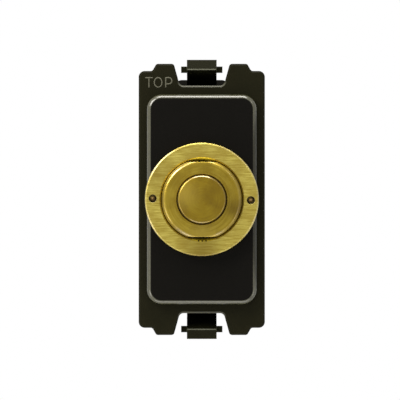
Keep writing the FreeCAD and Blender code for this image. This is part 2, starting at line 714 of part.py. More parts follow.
def strap_stake():
    """The rivet that stakes the upper strap to its block."""
    shank = disc(STAKE_DIAMETER / 2, STRAP_FRONT, BLOCK_FRONT + STAKE_DEPTH, TERMINAL_X, SCREW_Z)
    head = disc(STAKE_HEAD_DIAMETER / 2, STRAP_FRONT - STAKE_HEAD_THICK, STRAP_FRONT, TERMINAL_X, SCREW_Z)
    return shank.fuse(head)


def terminal_block():
    """The upper brass block, with a blind wire bore from its end and a clamp screw hole from its back."""
    block = box(BLOCK_INNER_X, CAVITY_X, BLOCK_FRONT, BLOCK_BACK, BLOCK_INNER_Z, CAVITY_Z)
    long_edges = [e for e in block.Edges if e.BoundBox.YLength > BLOCK_DEPTH / 2]
    block = block.makeChamfer(BLOCK_CHAMFER, long_edges)
    bore = Part.makeCylinder(
        WIRE_BORE / 2,
        WIRE_BORE_DEPTH + OVERCUT,
        Vector(TERMINAL_X, WIRE_Y, CAVITY_Z - WIRE_BORE_DEPTH),
        Vector(0, 0, 1),
    )
    screw_hole = disc(SCREW_DIAMETER / 2 + SCREW_CLEARANCE, WIRE_Y, BLOCK_BACK + OVERCUT, TERMINAL_X, SCREW_Z)
    stake_end = BLOCK_FRONT + STAKE_DEPTH
    stake_hole = disc(STAKE_DIAMETER / 2, BLOCK_FRONT - OVERCUT, stake_end, TERMINAL_X, SCREW_Z)
    return block.cut([bore, screw_hole, stake_hole])


def terminal_screw():
    """The upper clamp screw, backed out clear of the wire bore, with a slotted head in its well."""
    head_back = HOUSING_BACK - SCREW_HEAD_SETBACK
    head_front = head_back - SCREW_HEAD_THICK
    tip = WIRE_Y + WIRE_BORE / 2 + SCREW_TIP_GAP
    shank = disc(SCREW_DIAMETER / 2, tip, head_front, TERMINAL_X, SCREW_Z)
    head = disc(SCREW_HEAD_DIAMETER / 2, head_front, head_back, TERMINAL_X, SCREW_Z)
    slot = box(
        TERMINAL_X - SCREW_HEAD_DIAMETER,
        TERMINAL_X + SCREW_HEAD_DIAMETER,
        head_back - SLOT_DEPTH,
        head_back + OVERCUT,
        SCREW_Z - SLOT_WIDTH / 2,
        SCREW_Z + SLOT_WIDTH / 2,
    )
    return shank.fuse(head).cut(slot)


def latch():
    """The top latch: a slanting arm on trunnions, a ridged head that snaps in the frame, and two ears."""
    ridge_z = PIVOT_Z + LATCH_RIDGE_RISE
    top_z = ridge_z + LATCH_HEAD_RISE
    head_back = LATCH_RIDGE_SETBACK + LATCH_HEAD_DEPTH
    arm = Vector(LATCH_RIDGE_SETBACK + LATCH_RAMP - PIVOT_Y, ridge_z - LATCH_UNDERCUT / 2 - PIVOT_Z, 0)
    arm.normalize()
    across = Vector(arm.y, -arm.x, 0) * (LATCH_ARM_THICK / 2)
    arm_top_z = ridge_z + (LATCH_ARM_THICK - LATCH_UNDERCUT) / 2
    corners = [
        (LATCH_RIDGE_SETBACK, ridge_z, 0),
        (LATCH_RIDGE_SETBACK + LATCH_RAMP, top_z, 0),
        (head_back, top_z, 0),
        (head_back + LATCH_UNDERCUT, arm_top_z, 0),
        (PIVOT_Y + across.x, PIVOT_Z + across.y, 0),
        (PIVOT_Y - across.x, PIVOT_Z - across.y, 0),
        (LATCH_RIDGE_SETBACK + LATCH_RAMP, ridge_z - LATCH_UNDERCUT, 0),
    ]
    half = LATCH_WIDTH / 2
    side_view = rounded_wire(corners, lambda y, z: Vector(-half, y, z))
    arm_solid = Part.Face(side_view).extrude(Vector(LATCH_WIDTH, 0, 0))
    ear_front = LATCH_RIDGE_SETBACK + EAR_SETBACK
    bar = box(
        -EAR_WIDTH / 2,
        EAR_WIDTH / 2,
        ear_front,
        ear_front + EAR_DEPTH,
        ridge_z - EAR_HEIGHT / 2,
        ridge_z + EAR_HEIGHT / 2,
    )
    reach = half + TRUNNION_REACH
    trunnion = Part.makeCylinder(
        TRUNNION_DIAMETER / 2, 2 * reach, Vector(-reach, PIVOT_Y, PIVOT_Z), Vector(1, 0, 0)
    )
    return arm_solid.fuse([bar, trunnion]).removeSplitter()


def both_ends(piece):
    """A piece at the top and its copy at the bottom."""
    return piece, half_turn(piece)


def all_pieces():
    """Every piece of the module by its name."""
    top_latch, bottom_latch = both_ends(latch())
    top_block, bottom_block = both_ends(terminal_block())
    top_strap, bottom_strap = both_ends(terminal_strap())
    top_moving, bottom_moving = both_ends(contact_tip(BRIDGE_BACK, MOVING_TIP_BACK))
    top_fixed, bottom_fixed = both_ends(contact_tip(FIXED_TIP_FRONT, FIXED_TIP_FRONT))
    return_spring = coil_spring(
        RETURN_COIL_DIAMETER,
        RETURN_WIRE,
        RETURN_ACTIVE_TURNS,
        BUTTON_BACK + SPRING_SEAT_GAP,
        GUIDE_FRONT - SPRING_SEAT_GAP,
    )
    contact_spring = coil_spring(
        CONTACT_COIL_DIAMETER,
        CONTACT_WIRE,
        CONTACT_ACTIVE_TURNS,
        COLLAR_BACK + SPRING_SEAT_GAP,
        BRIDGE_FRONT - SPRING_SEAT_GAP,
    )
    return {
        "front_frame": front_frame(),
        "rear_housing": rear_housing(),
        "top_latch": top_latch,
        "bottom_latch": bottom_latch,
        "ring_nut": ring_nut(),
        "bush": bush(),
        "bush_washer": bush_washer(),
        "button": button(),
        "pusher": pusher(),
        "guide_cap": guide_cap(),
        "guide_ring": guide_ring(),
        "return_spring": return_spring,
        "contact_spring": contact_spring,
        "contact_bridge": contact_bridge(),
        "bridge_clip": bridge_clip(),
        "top_moving_contact": top_moving,
        "bottom_moving_contact": bottom_moving,
        "top_fixed_contact": top_fixed,
        "bottom_fixed_contact": bottom_fixed,
        "top_strap": top_strap,
        "bottom_strap": bottom_strap,
        "top_terminal_block": top_block,
        "bottom_terminal_block": bottom_block,
        "strap_stakes": Part.makeCompound(both_ends(strap_stake())),
        "terminal_screws": Part.makeCompound(both_ends(terminal_screw())),
    }


def main():
    """Builds every piece, tests that it is a sound solid and writes it."""
    os.makedirs("parts", exist_ok=True)
    for name, shape in all_pieces().items():
        solids = shape.Solids
        if not solids or not all(solid.isValid() for solid in solids):
            raise ValueError(f"{name} is not a sound solid")
        print(f"{name}: {len(solids)} solid(s), {sum(solid.Volume for solid in solids):.2f} mm3")
        shape.exportStep(os.path.join("parts", f"{name}.step"))


main()
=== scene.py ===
"""Looks of the clip-in push button switch module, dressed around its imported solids.

Everything is in metres in the solids' own frame: +Z up, the front towards -Y, the origin at the
centre of the flange's front face. Sizes below are given in millimetres and multiplied by MM.
"""

from __future__ import annotations

import logging
import math
from dataclasses import dataclass
from enum import Enum

import bmesh
import bpy
import numpy as np
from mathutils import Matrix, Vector

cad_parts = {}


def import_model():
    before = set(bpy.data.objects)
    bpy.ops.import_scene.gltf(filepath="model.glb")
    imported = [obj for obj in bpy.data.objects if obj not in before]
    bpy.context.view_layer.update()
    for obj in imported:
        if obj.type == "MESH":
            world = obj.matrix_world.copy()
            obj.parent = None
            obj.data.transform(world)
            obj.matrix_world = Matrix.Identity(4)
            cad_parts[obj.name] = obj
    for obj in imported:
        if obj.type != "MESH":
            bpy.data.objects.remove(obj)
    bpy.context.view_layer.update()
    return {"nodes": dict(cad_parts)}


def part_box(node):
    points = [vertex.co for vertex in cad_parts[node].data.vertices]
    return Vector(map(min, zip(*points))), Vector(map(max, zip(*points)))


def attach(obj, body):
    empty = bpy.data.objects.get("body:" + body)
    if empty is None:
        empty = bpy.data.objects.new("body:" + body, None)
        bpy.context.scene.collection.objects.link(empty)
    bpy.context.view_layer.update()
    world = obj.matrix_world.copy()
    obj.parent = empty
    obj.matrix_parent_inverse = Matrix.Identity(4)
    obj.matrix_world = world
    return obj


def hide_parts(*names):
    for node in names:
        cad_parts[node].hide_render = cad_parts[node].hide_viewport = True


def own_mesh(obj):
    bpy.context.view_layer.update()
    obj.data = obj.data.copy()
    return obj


MM = 0.001
WHOLE_TURN = 2 * math.pi
FRONT_PLANE = (1.0, 0.0, 1.0)
MERGE_DISTANCE = 1e-7
log = logging.getLogger("switch_module")

Socket = bpy.types.NodeSocket
Node = bpy.types.Node
Tree = bpy.types.NodeTree
Material = bpy.types.Material
Piece = bpy.types.Object


class Effect(Enum):
    """Shared surface effects, each one shader node group."""

    BRUSHING = "brushing"
    TURNING = "turning"
    TARNISH = "tarnish"
    GRAIN = "grain"
    WEAR = "wear"
    SPOT = "spot"
    ROUNDING = "rounding"


class Body(Enum):
    """Moving bodies of the module."""

    MODULE = "module"
    PUSH = "push"
    UPPER_LATCH = "upper_latch"
    LOWER_LATCH = "lower_latch"


class Lay(Enum):
    """How a brass face was worked: brushed along X or turned about the depth axis."""

    STRAIGHT = "straight"
    ROUND = "round"


class End(Enum):
    """Ends of a spring along the depth axis."""

    FRONT = "front"
    BACK = "back"


class Face(Enum):
    """Faces of the mouldings that carry raised marks."""

    FRONT = "front"
    BACK = "back"
    LEFT = "left"
    RIGHT = "right"


@dataclass(frozen=True)
class Tone:
    """A colour in display values, 0 to 255."""

    red: float
    green: float
    blue: float

    def linear(self) -> tuple[float, float, float, float]:
        """Turns the colour into linear light by the sRGB curve.

        Returns:
            Red, green, blue and a full alpha.
        """
        share = np.array([self.red, self.green, self.blue]) / 255
        light = np.where(share <= 0.04045, share / 12.92, ((share + 0.055) / 1.055) ** 2.4)
        return (float(light[0]), float(light[1]), float(light[2]), 1.0)


WHITE = Tone(255, 255, 255)


def emptied(owner: Material | bpy.types.World) -> Tree:
    """Turns on the nodes of a material or a world.

    Args:
        owner: The material or the world.

    Returns:
        Its node tree, with no nodes in it.
    """
    owner.use_nodes = True
    owner.node_tree.nodes.clear()
    return owner.node_tree


class Bench:
    """A node tree with short calls that place nodes on values, tones or other nodes' sockets."""

    def __init__(self, tree: Tree) -> None:
        """Takes a material's, a world's or a group's node tree."""
        self.tree = tree

    def feed(self, target: Socket, value: object) -> None:
        """Gives an input its value.

        Args:
            target: The input.
            value: A socket to join to it, a Tone or a plain value.
        """
        if isinstance(value, Socket):
            self.tree.links.new(value, target)
        else:
            target.default_value = value.linear() if isinstance(value, Tone) else value

    def place(self, kind: str, values: dict | None = None, **settings: object) -> Node:
        """Adds one node.

        Args:
            kind: The node's type, without its ShaderNode prefix.
            values: What to feed its inputs with, by their names or numbers.
            settings: Properties of the node itself.

        Returns:
            The new node.
        """
        node = self.tree.nodes.new(f"ShaderNode{kind}")
        for name, value in settings.items():
            setattr(node, name, value)
        for key, value in (values or {}).items():
            self.feed(node.inputs[key], value)
        return node

    def math(self, operation: str, *terms: object) -> Socket:
        """Places a Math node and returns its result."""
        return self.place("Math", dict(enumerate(terms)), operation=operation).outputs[0]

    def vector(self, operation: str, *terms: object) -> Socket:
        """Places a VectorMath node and returns its vector."""
        node = self.place("VectorMath", dict(enumerate(terms)), operation=operation)
        return node.outputs["Vector"]

    def measure(self, operation: str, *terms: object) -> Socket:
        """Places a VectorMath node and returns its value."""
        node = self.place("VectorMath", dict(enumerate(terms)), operation=operation)
        return node.outputs["Value"]

    def blend(self, mask: Socket, low: object, high: object) -> Socket:
        """Mixes two colours: a mask of 0 gives low, 1 gives high."""
        return self.place("Mix", {0: mask, 6: low, 7: high}, data_type="RGBA").outputs[2]

    def choose(self, mask: Socket, low: Socket, high: Socket) -> Socket:
        """Mixes two shaders: a mask of 0 gives low, 1 gives high."""
        return self.place("MixShader", {0: mask, 1: low, 2: high}).outputs[0]

    def noise(self, at: Socket, scale: object, detail: float, roughness: float = 0.5) -> Socket:
        """Places a noise texture and returns its value."""
        values = {"Vector": at, "Scale": scale, "Detail": detail, "Roughness": roughness}
        return self.place("TexNoise", values).outputs[0]

    def ramp(self, value: Socket, start: object, end: object, kind: str = "LINEAR") -> Socket:
        """Maps start to end onto 0 to 1, straight or smoothly."""
        node = self.place("MapRange", {0: value, 1: start, 2: end}, interpolation_type=kind)
        return node.outputs[0]

    def stretch(self, value: Socket, low: float, high: float) -> Socket:
        """Maps 0 to 1 onto low to high."""
        return self.place("MapRange", {0: value, 3: low, 4: high}).outputs[0]


class Recipe(Bench):
    """A shared effect's bench, with the sockets that feed the effect."""

    cells_per_mottle = 25.0
    bevel_samples = 6

    def __init__(self, tree: Tree) -> None:
        """Starts in a node group.

        Args:
            tree: The group, with its sockets.
        """
        super().__init__(tree)
        self.entry = tree.nodes.new("NodeGroupInput").outputs
        self.at = self.entry["Vector"]

    def brushing(self) -> tuple[Socket, ...]:
        """Fine lines along X: noise squeezed across the lines and drawn out along them.

        Returns:
            The lines and the deeper scratches.
        """
        fineness = self.entry["Fineness"]
        along = self.math("DIVIDE", fineness, self.entry["Length"])
        scale = self.place("CombineXYZ", {0: along, 1: fineness, 2: fineness})
        drawn = self.vector("MULTIPLY", self.at, scale.outputs[0])
        fine = self.noise(drawn, scale=1.0, detail=5.0, roughness=0.7)
        coarse = self.noise(drawn, scale=0.37, detail=2.0)
        return self.ramp(fine, start=0.3, end=0.7), self.ramp(coarse, start=0.58, end=0.72)

    def turning(self) -> tuple[Socket, ...]:
        """Lathe marks: fine rings by distance from the depth axis, and slow darker sectors by
        direction, a painted sheen.

        Returns:
            The rings and the painted sheen's sectors.
        """
        across = self.vector("MULTIPLY", self.at, FRONT_PLANE)
        reach = self.math("MULTIPLY", self.measure("LENGTH", across), self.entry["Fineness"])
        way = self.place("SeparateXYZ", {0: self.vector("NORMALIZE", across)}).outputs
        rings = self.place("CombineXYZ", {0: reach, 1: way[0], 2: way[2]})
        sectors = self.place("CombineXYZ", {0: way[2], 1: way[0], 2: self.entry["Phase"]})
        lines, uneven = (
            self.noise(place.outputs[0], scale=1.0, detail=3.0, roughness=0.6)
            for place in (rings, sectors)
        )
        return self.ramp(lines, start=0.3, end=0.7), self.ramp(uneven, start=0.38, end=0.64)

    def tarnish(self) -> tuple[Socket, ...]:
        """Soft uneven patches: cloudy noise with its contrast raised.

        Returns:
            The patches' mask.
        """
        cloud = self.noise(self.at, self.entry["Size"], detail=5.0, roughness=0.6)
        return (self.ramp(cloud, start=0.35, end=0.68, kind="SMOOTHSTEP"),)

    def grain(self) -> tuple[Socket, ...]:
        """A spark-eroded mould's texture: small round cells under fine noise, and slow mottling.

        Returns:
            The texture's height and the mottling.
        """
        size = self.entry["Size"]
        cells = self.place("TexVoronoi", {"Vector": self.at, "Scale": size}, feature="SMOOTH_F1")
        fine = self.noise(self.at, size, detail=4.0, roughness=0.65)
        both = self.math("ADD", cells.outputs["Distance"], fine)
        slow = self.math("DIVIDE", size, self.cells_per_mottle)
        mottle = self.noise(self.at, slow, detail=3.0)
        return self.math("MULTIPLY", both, 0.5), mottle

    def wear(self) -> tuple[Socket, ...]:
        """Softened and rubbed edges: where a rounded normal leaves the flat one, broken by noise.

        Returns:
            The rubbed edges' mask and the rounded normal.
        """
        radius = {"Radius": self.entry["Radius"]}
        rounded = self.place("Bevel", radius, samples=self.bevel_samples).outputs[0]
        flat = self.place("NewGeometry").outputs["Normal"]
        edge = self.math("SUBTRACT", 1.0, self.measure("DOT_PRODUCT", rounded, flat))
        breaks = self.noise(self.at, self.entry["Breakup"], detail=3.0)
        return self.ramp(self.math("MULTIPLY", edge, breaks), start=0.0, end=0.08), rounded

    def spot(self) -> tuple[Socket, ...]:
        """A round spot seen from the front: 1 near a centre, fading over a share of its radius.

        Returns:
            The spot's mask.
        """
        offset = self.vector("SUBTRACT", self.at, self.entry["Centre"])
        reach = self.measure("LENGTH", self.vector("MULTIPLY", offset, FRONT_PLANE))
        share = self.math("DIVIDE", reach, self.entry["Radius"])
        core = self.math("SUBTRACT", 1.0, self.entry["Softness"])
        return (self.ramp(share, start=1.0, end=core, kind="SMOOTHSTEP"),)

    def rounding(self) -> tuple[Socket, ...]:
        """Broken edges, which face neither the front nor the side; and what lies ahead of a depth.

        Returns:
            The edges' mask and the mask of what lies ahead.
        """
        lean = self.place("SeparateXYZ", {0: self.entry["Normal"]}).outputs[1]
        facing = self.math("ABSOLUTE", lean)
        front = self.ramp(facing, start=0.99, end=0.945, kind="SMOOTHSTEP")
        side = self.ramp(facing, start=0.05, end=0.3, kind="SMOOTHSTEP")
        depth = self.place("SeparateXYZ", {0: self.at}).outputs[1]
        ahead = self.math("LESS_THAN", depth, self.entry["Depth"])
        return self.math("MULTIPLY", front, side), ahead


class EffectShelf:
    """Builds each shared effect once and hands it out."""

    recipes = {
        Effect.BRUSHING: (Recipe.brushing, ("Vector", "Fineness", "Length"), ("Lines", "Uneven")),
        Effect.TURNING: (Recipe.turning, ("Vector", "Fineness", "Phase"), ("Lines", "Uneven")),
        Effect.TARNISH: (Recipe.tarnish, ("Vector", "Size"), ("Mask",)),
        Effect.GRAIN: (Recipe.grain, ("Vector", "Size"), ("Height", "Mottle")),
        Effect.WEAR: (Recipe.wear, ("Vector", "Radius", "Breakup"), ("Mask", "Normal")),
        Effect.SPOT: (Recipe.spot, ("Vector", "Centre", "Radius", "Softness"), ("Mask",)),
        Effect.ROUNDING: (Recipe.rounding, ("Vector", "Normal", "Depth"), ("Band", "Ahead")),
    }
    vectors = ("Vector", "Centre", "Normal")

    def __init__(self) -> None:
        """Starts with an empty shelf."""
        self.made: dict[Effect, Tree] = {}

    def take(self, effect: Effect) -> Tree:
        """Hands out an effect, made on its first use.

        Args:
            effect: Which one.

        Returns:
            Its node group.
        """
        if effect not in self.made:
            follow, *sockets = self.recipes[effect]
            tree = bpy.data.node_groups.new(effect.value, "ShaderNodeTree")
            for way, names in zip(("INPUT", "OUTPUT"), sockets):
                for name in names:
                    kind = "NodeSocketVector" if name in self.vectors else "NodeSocketFloat"
                    tree.interface.new_socket(name, in_out=way, socket_type=kind)
            recipe = Recipe(tree)
            leave = tree.nodes.new("NodeGroupOutput").inputs
            for target, result in zip(leave, follow(recipe)):
                recipe.feed(target, result)
            self.made[effect] = tree
        return self.made[effect]


class Skin(Bench):
    """A material's bench, with its shader, its coordinates and the shared effects."""

    def __init__(self, name: str, shelf: EffectShelf) -> None:
        """Starts the material.

        Args:
            name: The material's name.
            shelf: The shared effects.
        """
        self.material = bpy.data.materials.new(name)
        super().__init__(emptied(self.material))
        self.shelf = shelf
        self.shader = self.place("BsdfPrincipled")
        self.place("OutputMaterial", {0: self.shader.outputs[0]})
        self.surface = self.place("TexCoord").outputs

    def shade(self, values: dict[str, object]) -> None:
        """Feeds inputs of the shader, by their names."""
        for name, value in values.items():
            self.feed(self.shader.inputs[name], value)

    def effect(self, effect: Effect, values: dict | None = None) -> bpy.types.NodeOutputs:
        """Places a shared effect on the material's coordinates.

        Args:
            effect: Which one.
            values: Its own values, by the names of its inputs.

        Returns:
            The effect's outputs.
        """
        node = self.place("Group", node_tree=self.shelf.take(effect))
        sources = {"Vector": self.surface["Object"], "Normal": self.surface["Normal"]}
        for name, value in (sources | (values or {})).items():
            if name in node.inputs:
                self.feed(node.inputs[name], value)
        return node.outputs


@dataclass(frozen=True)
class Spot:
    """A round place on a front face, in millimetres.

    Attributes:
        x: Its centre along X.
        z: Its centre along Z.
        radius: Its radius.
        tone: The tone that it takes.
        softness: Share of the radius over which it fades.
        share: How strongly it shows.
        within: Another place that it keeps inside.
    """

    x: float
    z: float
    radius: float
    tone: Tone = Tone(0, 0, 0)
    softness: float = 0.15
    share: float = 1.0
    within: Spot | None = None

    def mask(self, skin: Skin) -> Socket:
        """Places the spot's mask in a material.

        Args:
            skin: The material.

        Returns:
            The mask's socket.
        """
        centre = (self.x * MM, 0.0, self.z * MM)
        values = {"Centre": centre, "Radius": self.radius * MM, "Softness": self.softness}
        strength = skin.math("MULTIPLY", skin.effect(Effect.SPOT, values)["Mask"], self.share)
        if self.within is None:
            return strength
        return skin.math("MULTIPLY", strength, self.within.mask(skin))


Layers = tuple[Socket, Socket, dict[str, Socket]]


@dataclass(frozen=True, kw_only=True)
class Finish:
    """A material. Lengths are in millimetres, and patterns in features per metre.

    Attributes:
        name: The material's name.
        roughness: Middle roughness.
        height: Height of the lines, the grain or the specks.
        rough_range: What the roughness gains where its pattern is 0 and where it is 1.
        relief: Strength of the bump.
    """

    name: str
    roughness: float
    height: float

    rough_range = (-0.08, 0.08)
    relief = 0.3

    def cover(self, skin: Skin) -> Layers:
        """Lays the finish on a material.

        Args:
            skin: The material.

        Returns:
            The colour, the pattern of the roughness, and what feeds the bump.
        """
        raise NotImplementedError

    def make(self, shelf: EffectShelf) -> Material:
        """Builds the material.

        Args:
            shelf: The shared effects.

        Returns:
            The material.
        """
        skin = Skin(self.name, shelf)
        colour, pattern, sources = self.cover(skin)
        low, high = self.rough_range
        rough = skin.stretch(pattern, self.roughness + low, self.roughness + high)
        size = {"Strength": self.relief, "Distance": self.height * MM}
        bump = skin.place("Bump", size | sources).outputs[0]
        skin.shade({"Base Color": colour, "Roughness": rough, "Normal": bump})
        return skin.material


@dataclass(frozen=True, kw_only=True)
class BrassFinish(Finish):
    """Antique brass: brushed or turned, unevenly darkened, brighter along its edges, lacquered;
    with painted light and shade in places.

    Attributes:
        lay: How the face was worked.
        light: Tone of the raised lines.
        dark: Tone of the hollows between the lines.
        stain: Tone of the darker patches.
        edge: Tone of the rubbed edges.
        fineness: Lines per metre.
        line_weight: Share of the lines in the colour.
        edge_gloss: Weight of the lacquer along the broken edges.
        lacquer_ior: The lacquer's index of refraction.
        polished_places: Places where the lacquer on the edges has its full weight.
        spots: Holes, marks, patches, and painted light and shade.
        phase: Which sectors of a turned face are darker in the painted sheen.
        uneven_weight: Share of the scratches, or of the painted sheen's darker sectors.
        stain_weight: Share of the darker patches.
    """

    lay: Lay
    light: Tone
    dark: Tone
    stain: Tone
    edge: Tone
    fineness: float
    line_weight: float
    edge_gloss: float
    lacquer_ior: float
    polished_places: tuple[Spot, ...]
    spots: tuple[Spot, ...]
    phase: float = 0.0
    uneven_weight: float = 0.45
    stain_weight: float = 0.5

    line_length = 14.0
    stain_size = 240.0
    wear_radius = 0.12
    wear_breakup = 900.0
    wear_weight = 0.6
    face_gloss = 0.08
    lacquer_roughness = 0.16
    rough_range = (0.07, -0.07)
    relief = 0.6

    def working(self, skin: Skin) -> bpy.types.NodeOutputs:
        """Places the lines that the face was worked with.

        Args:
            skin: The material.

        Returns:
            The effect's outputs.
        """
        if self.lay is Lay.ROUND:
            return skin.effect(Effect.TURNING, {"Fineness": self.fineness, "Phase": self.phase})
        return skin.effect(Effect.BRUSHING, {"Fineness": self.fineness, "Length": self.line_length})

    def lacquer(self, skin: Skin) -> Socket:
        """Lays lacquer thinly on the faces and thicker on the broken edges.

        Args:
            skin: The material.

        Returns:
            The lacquer's weight.
        """
        band = skin.effect(Effect.ROUNDING)["Band"]
        weight = skin.math("MULTIPLY", band, self.edge_gloss)
        for spot in self.polished_places:
            weight = skin.math("MAXIMUM", weight, skin.math("MULTIPLY", band, spot.mask(skin)))
        return skin.math("MAXIMUM", weight, self.face_gloss)

    def cover(self, skin: Skin) -> Layers:
        """Lays lines, darker patches, rubbed edges, spots (some of them painted light and shade)
        and lacquer on a material.

        Args:
            skin: The material.

        Returns:
            The colour, the pattern of the roughness, and what feeds the bump.
        """
        working = self.working(skin)
        lines = working["Lines"]
        patches = skin.effect(Effect.TARNISH, {"Size": self.stain_size})["Mask"]
        rubbing = {"Radius": self.wear_radius * MM, "Breakup": self.wear_breakup}
        wear = skin.effect(Effect.WEAR, rubbing)
        drawn = skin.stretch(lines, 0.5 - self.line_weight, 0.5 + self.line_weight)
        colour = skin.blend(drawn, self.dark, self.light)
        for mask, weight, tone in (
            (working["Uneven"], self.uneven_weight, self.stain),
            (patches, self.stain_weight, self.stain),
            (wear["Mask"], self.wear_weight, self.edge),
        ):
            colour = skin.blend(skin.math("MULTIPLY", mask, weight), colour, tone)
        for spot in self.spots:
            colour = skin.blend(spot.mask(skin), colour, spot.tone)
        coat = {"Coat Roughness": self.lacquer_roughness, "Coat IOR": self.lacquer_ior}
        skin.shade({"Metallic": 1.0, "Coat Weight": self.lacquer(skin)} | coat)
        return colour, lines, {"Height": lines, "Normal": wear["Normal"]}


@dataclass(frozen=True, kw_only=True)
class MouldingFinish(Finish):
    """Black moulded thermoplastic with a fine mould texture and faintly rubbed edges.

    Attributes:
        tone: Main tone.
        pale: Tone of the mottling.
        edge: Tone of the rubbed edges.
        grain_size: Texture cells per metre.
        gloss: Specular level.
        edge_radius: Radius of the softened edges.
    """

    tone: Tone
    pale: Tone
    edge: Tone
    grain_size: float
    gloss: float
    edge_radius: float

    wear_breakup = 700.0
    wear_weight = 0.5
    rough_range = (-0.06, 0.06)
    relief = 0.35

    def tinted(self, skin: Skin, colour: Socket, rubbed: Socket) -> Socket:
        """Returns the mottled colour with the edges rubbed."""
        return skin.blend(rubbed, colour, self.edge)

    def cover(self, skin: Skin) -> Layers:
        """Lays grain, mottling and rubbed edges on a material.

        Args:
            skin: The material.

        Returns:
            The colour, the pattern of the roughness, and what feeds the bump.
        """
        skin.shade({"Specular IOR Level": self.gloss})
        grain = skin.effect(Effect.GRAIN, {"Size": self.grain_size})
        mottle = grain["Mottle"]
        rubbing = {"Radius": self.edge_radius * MM, "Breakup": self.wear_breakup}
        wear = skin.effect(Effect.WEAR, rubbing)
        rubbed = skin.math("MULTIPLY", wear["Mask"], self.wear_weight)
        colour = self.tinted(skin, skin.blend(mottle, self.tone, self.pale), rubbed)
        return colour, mottle, {"Height": grain["Height"], "Normal": wear["Normal"]}


@dataclass(frozen=True, kw_only=True)
class PolishedMoulding(MouldingFinish):
    """A black moulding with a darker front, and round edges that are polished and painted lighter
    as a highlight.

    Attributes:
        front_depth: The front is what lies ahead of this depth.
        front: Tone of the front.
        highlight_tone: Tone painted on the polished round edges, a painted highlight.
        polished_places: Places where the edges behind the front are polished and take the painted
            highlight too.
        dulled_and_shaded_places: Places where the polish and the painted highlight are weaker, as
            painted shade.
    """

    front_depth: float
    front: Tone
    highlight_tone: Tone
    polished_places: tuple[Spot, ...]
    dulled_and_shaded_places: tuple[Spot, ...]

    polish_weight = 0.9
    polish_roughness = 0.22
    polish_ior = 1.7

    def tinted(self, skin: Skin, colour: Socket, rubbed: Socket) -> Socket:
        """Darkens the front, rubs the edges, and polishes the round ones and paints a highlight on
        them.

        Args:
            skin: The material.
            colour: The mottled colour.
            rubbed: The rubbed edges' mask.

        Returns:
            The colour.
        """
        rounding = skin.effect(Effect.ROUNDING, {"Depth": self.front_depth * MM})
        reach = rounding["Ahead"]
        colour = super().tinted(skin, skin.blend(reach, colour, self.front), rubbed)
        for spot in self.polished_places:
            reach = skin.math("MAXIMUM", reach, spot.mask(skin))
        # The round edges' mask, for the polish and for the painted highlight.
        polish_and_highlight = skin.math("MULTIPLY", rounding["Band"], reach)
        # Painted shade: these places weaken the polish and the painted highlight.
        for spot in self.dulled_and_shaded_places:
            kept = skin.math("SUBTRACT", 1.0, spot.mask(skin))
            polish_and_highlight = skin.math("MULTIPLY", polish_and_highlight, kept)
        weight = skin.math("MULTIPLY", polish_and_highlight, self.polish_weight)
        coat = {"Coat Roughness": self.polish_roughness, "Coat IOR": self.polish_ior}
        skin.shade({"Coat Weight": weight} | coat)
        # Paints the highlight's tone on the round edges.
        return skin.blend(polish_and_highlight, colour, self.highlight_tone)


@dataclass(frozen=True, kw_only=True)
class BareMetalFinish(Finish):
    """Drawn, rolled or plated metal with fine lines and slight tarnish.

    Attributes:
        tone: Main tone.
        stain: Tone of the tarnish.
        line_length: How far the drawing lines are drawn out.
        grime_depth: Grime lies on what is ahead of this depth, if there is any.
    """

    tone: Tone
    stain: Tone
    line_length: float
    grime_depth: float | None = None
    height: float = 0.006

    grime = Tone(64, 62, 56)
    fineness = 9000.0
    stain_size = 420.0
    stain_weight = 0.6
    rough_range = (-0.08, 0.1)

    def cover(self, skin: Skin) -> Layers:
        """Lays lines, tarnish and grime on a material.

        Args:
            skin: The material.

        Returns:
            The colour, the pattern of the roughness, and what feeds the bump.
        """
        skin.shade({"Metallic": 1.0})
        drawing = {"Fineness": self.fineness, "Length": self.line_length}
        lines = skin.effect(Effect.BRUSHING, drawing)["Lines"]
        tarnish = skin.effect(Effect.TARNISH, {"Size": self.stain_size})["Mask"]
        patches = skin.math("MULTIPLY", tarnish, self.stain_weight)
        colour = skin.blend(patches, self.tone, self.stain)
        if self.grime_depth is not None:
            ahead = skin.effect(Effect.ROUNDING, {"Depth": self.grime_depth * MM})["Ahead"]
            colour = skin.blend(ahead, colour, self.grime)
        return colour, lines, {"Height": lines}


@dataclass(frozen=True, kw_only=True)
class SpeckledFinish(Finish):
    """Natural nylon or vulcanised fibre: an even tone with fine speckle and slow clouding.

    Attributes:
        tone: Main tone.
        speck: Tone of the speckle.
        speck_size: Specks per metre.
    """

    tone: Tone
    speck: Tone
    speck_size: float
    height: float = 0.02

    gloss = 0.4

    def cover(self, skin: Skin) -> Layers:
        """Lays specks and clouds on a material.

        Args:
            skin: The material.

        Returns:
            The colour, the pattern of the roughness, and what feeds the bump.
        """
        skin.shade({"Specular IOR Level": self.gloss})
        grain = skin.effect(Effect.GRAIN, {"Size": self.speck_size})
        speckle = skin.math("MULTIPLY", grain["Height"], grain["Mottle"])
        colour = skin.blend(speckle, self.tone, self.speck)
        return colour, grain["Mottle"], {"Height": grain["Height"]}


# Painted shade in the spanner holes, and the tone of the small dark nicks.
OXIDE_AND_SHADE = Tone(40, 30, 16)
# Painted light on the spanner holes' floors.
LIT_HOLE_FLOOR = Tone(236, 206, 168)
# Painted highlight for the nut's mouth chamfer.
CHAMFER_HIGHLIGHT = Tone(214, 216, 116)
# Painted shade for the nut's face.
PAINTED_SHADE = Tone(112, 92, 26)
# A lighter brass tone: painted light on the button's left, and a lighter patch low on the bush.
LIGHTER_BRASS = Tone(186, 164, 78)
NUT_HOLES = ((-9.70, 0.17), (9.70, -0.17))
NUT_NICKS = ((-0.63, -8.20), (0.10, -8.22), (0.84, -8.20))
NUT_MOUTH = Spot(0.0, 0.0, 8.42, softness=0.02)

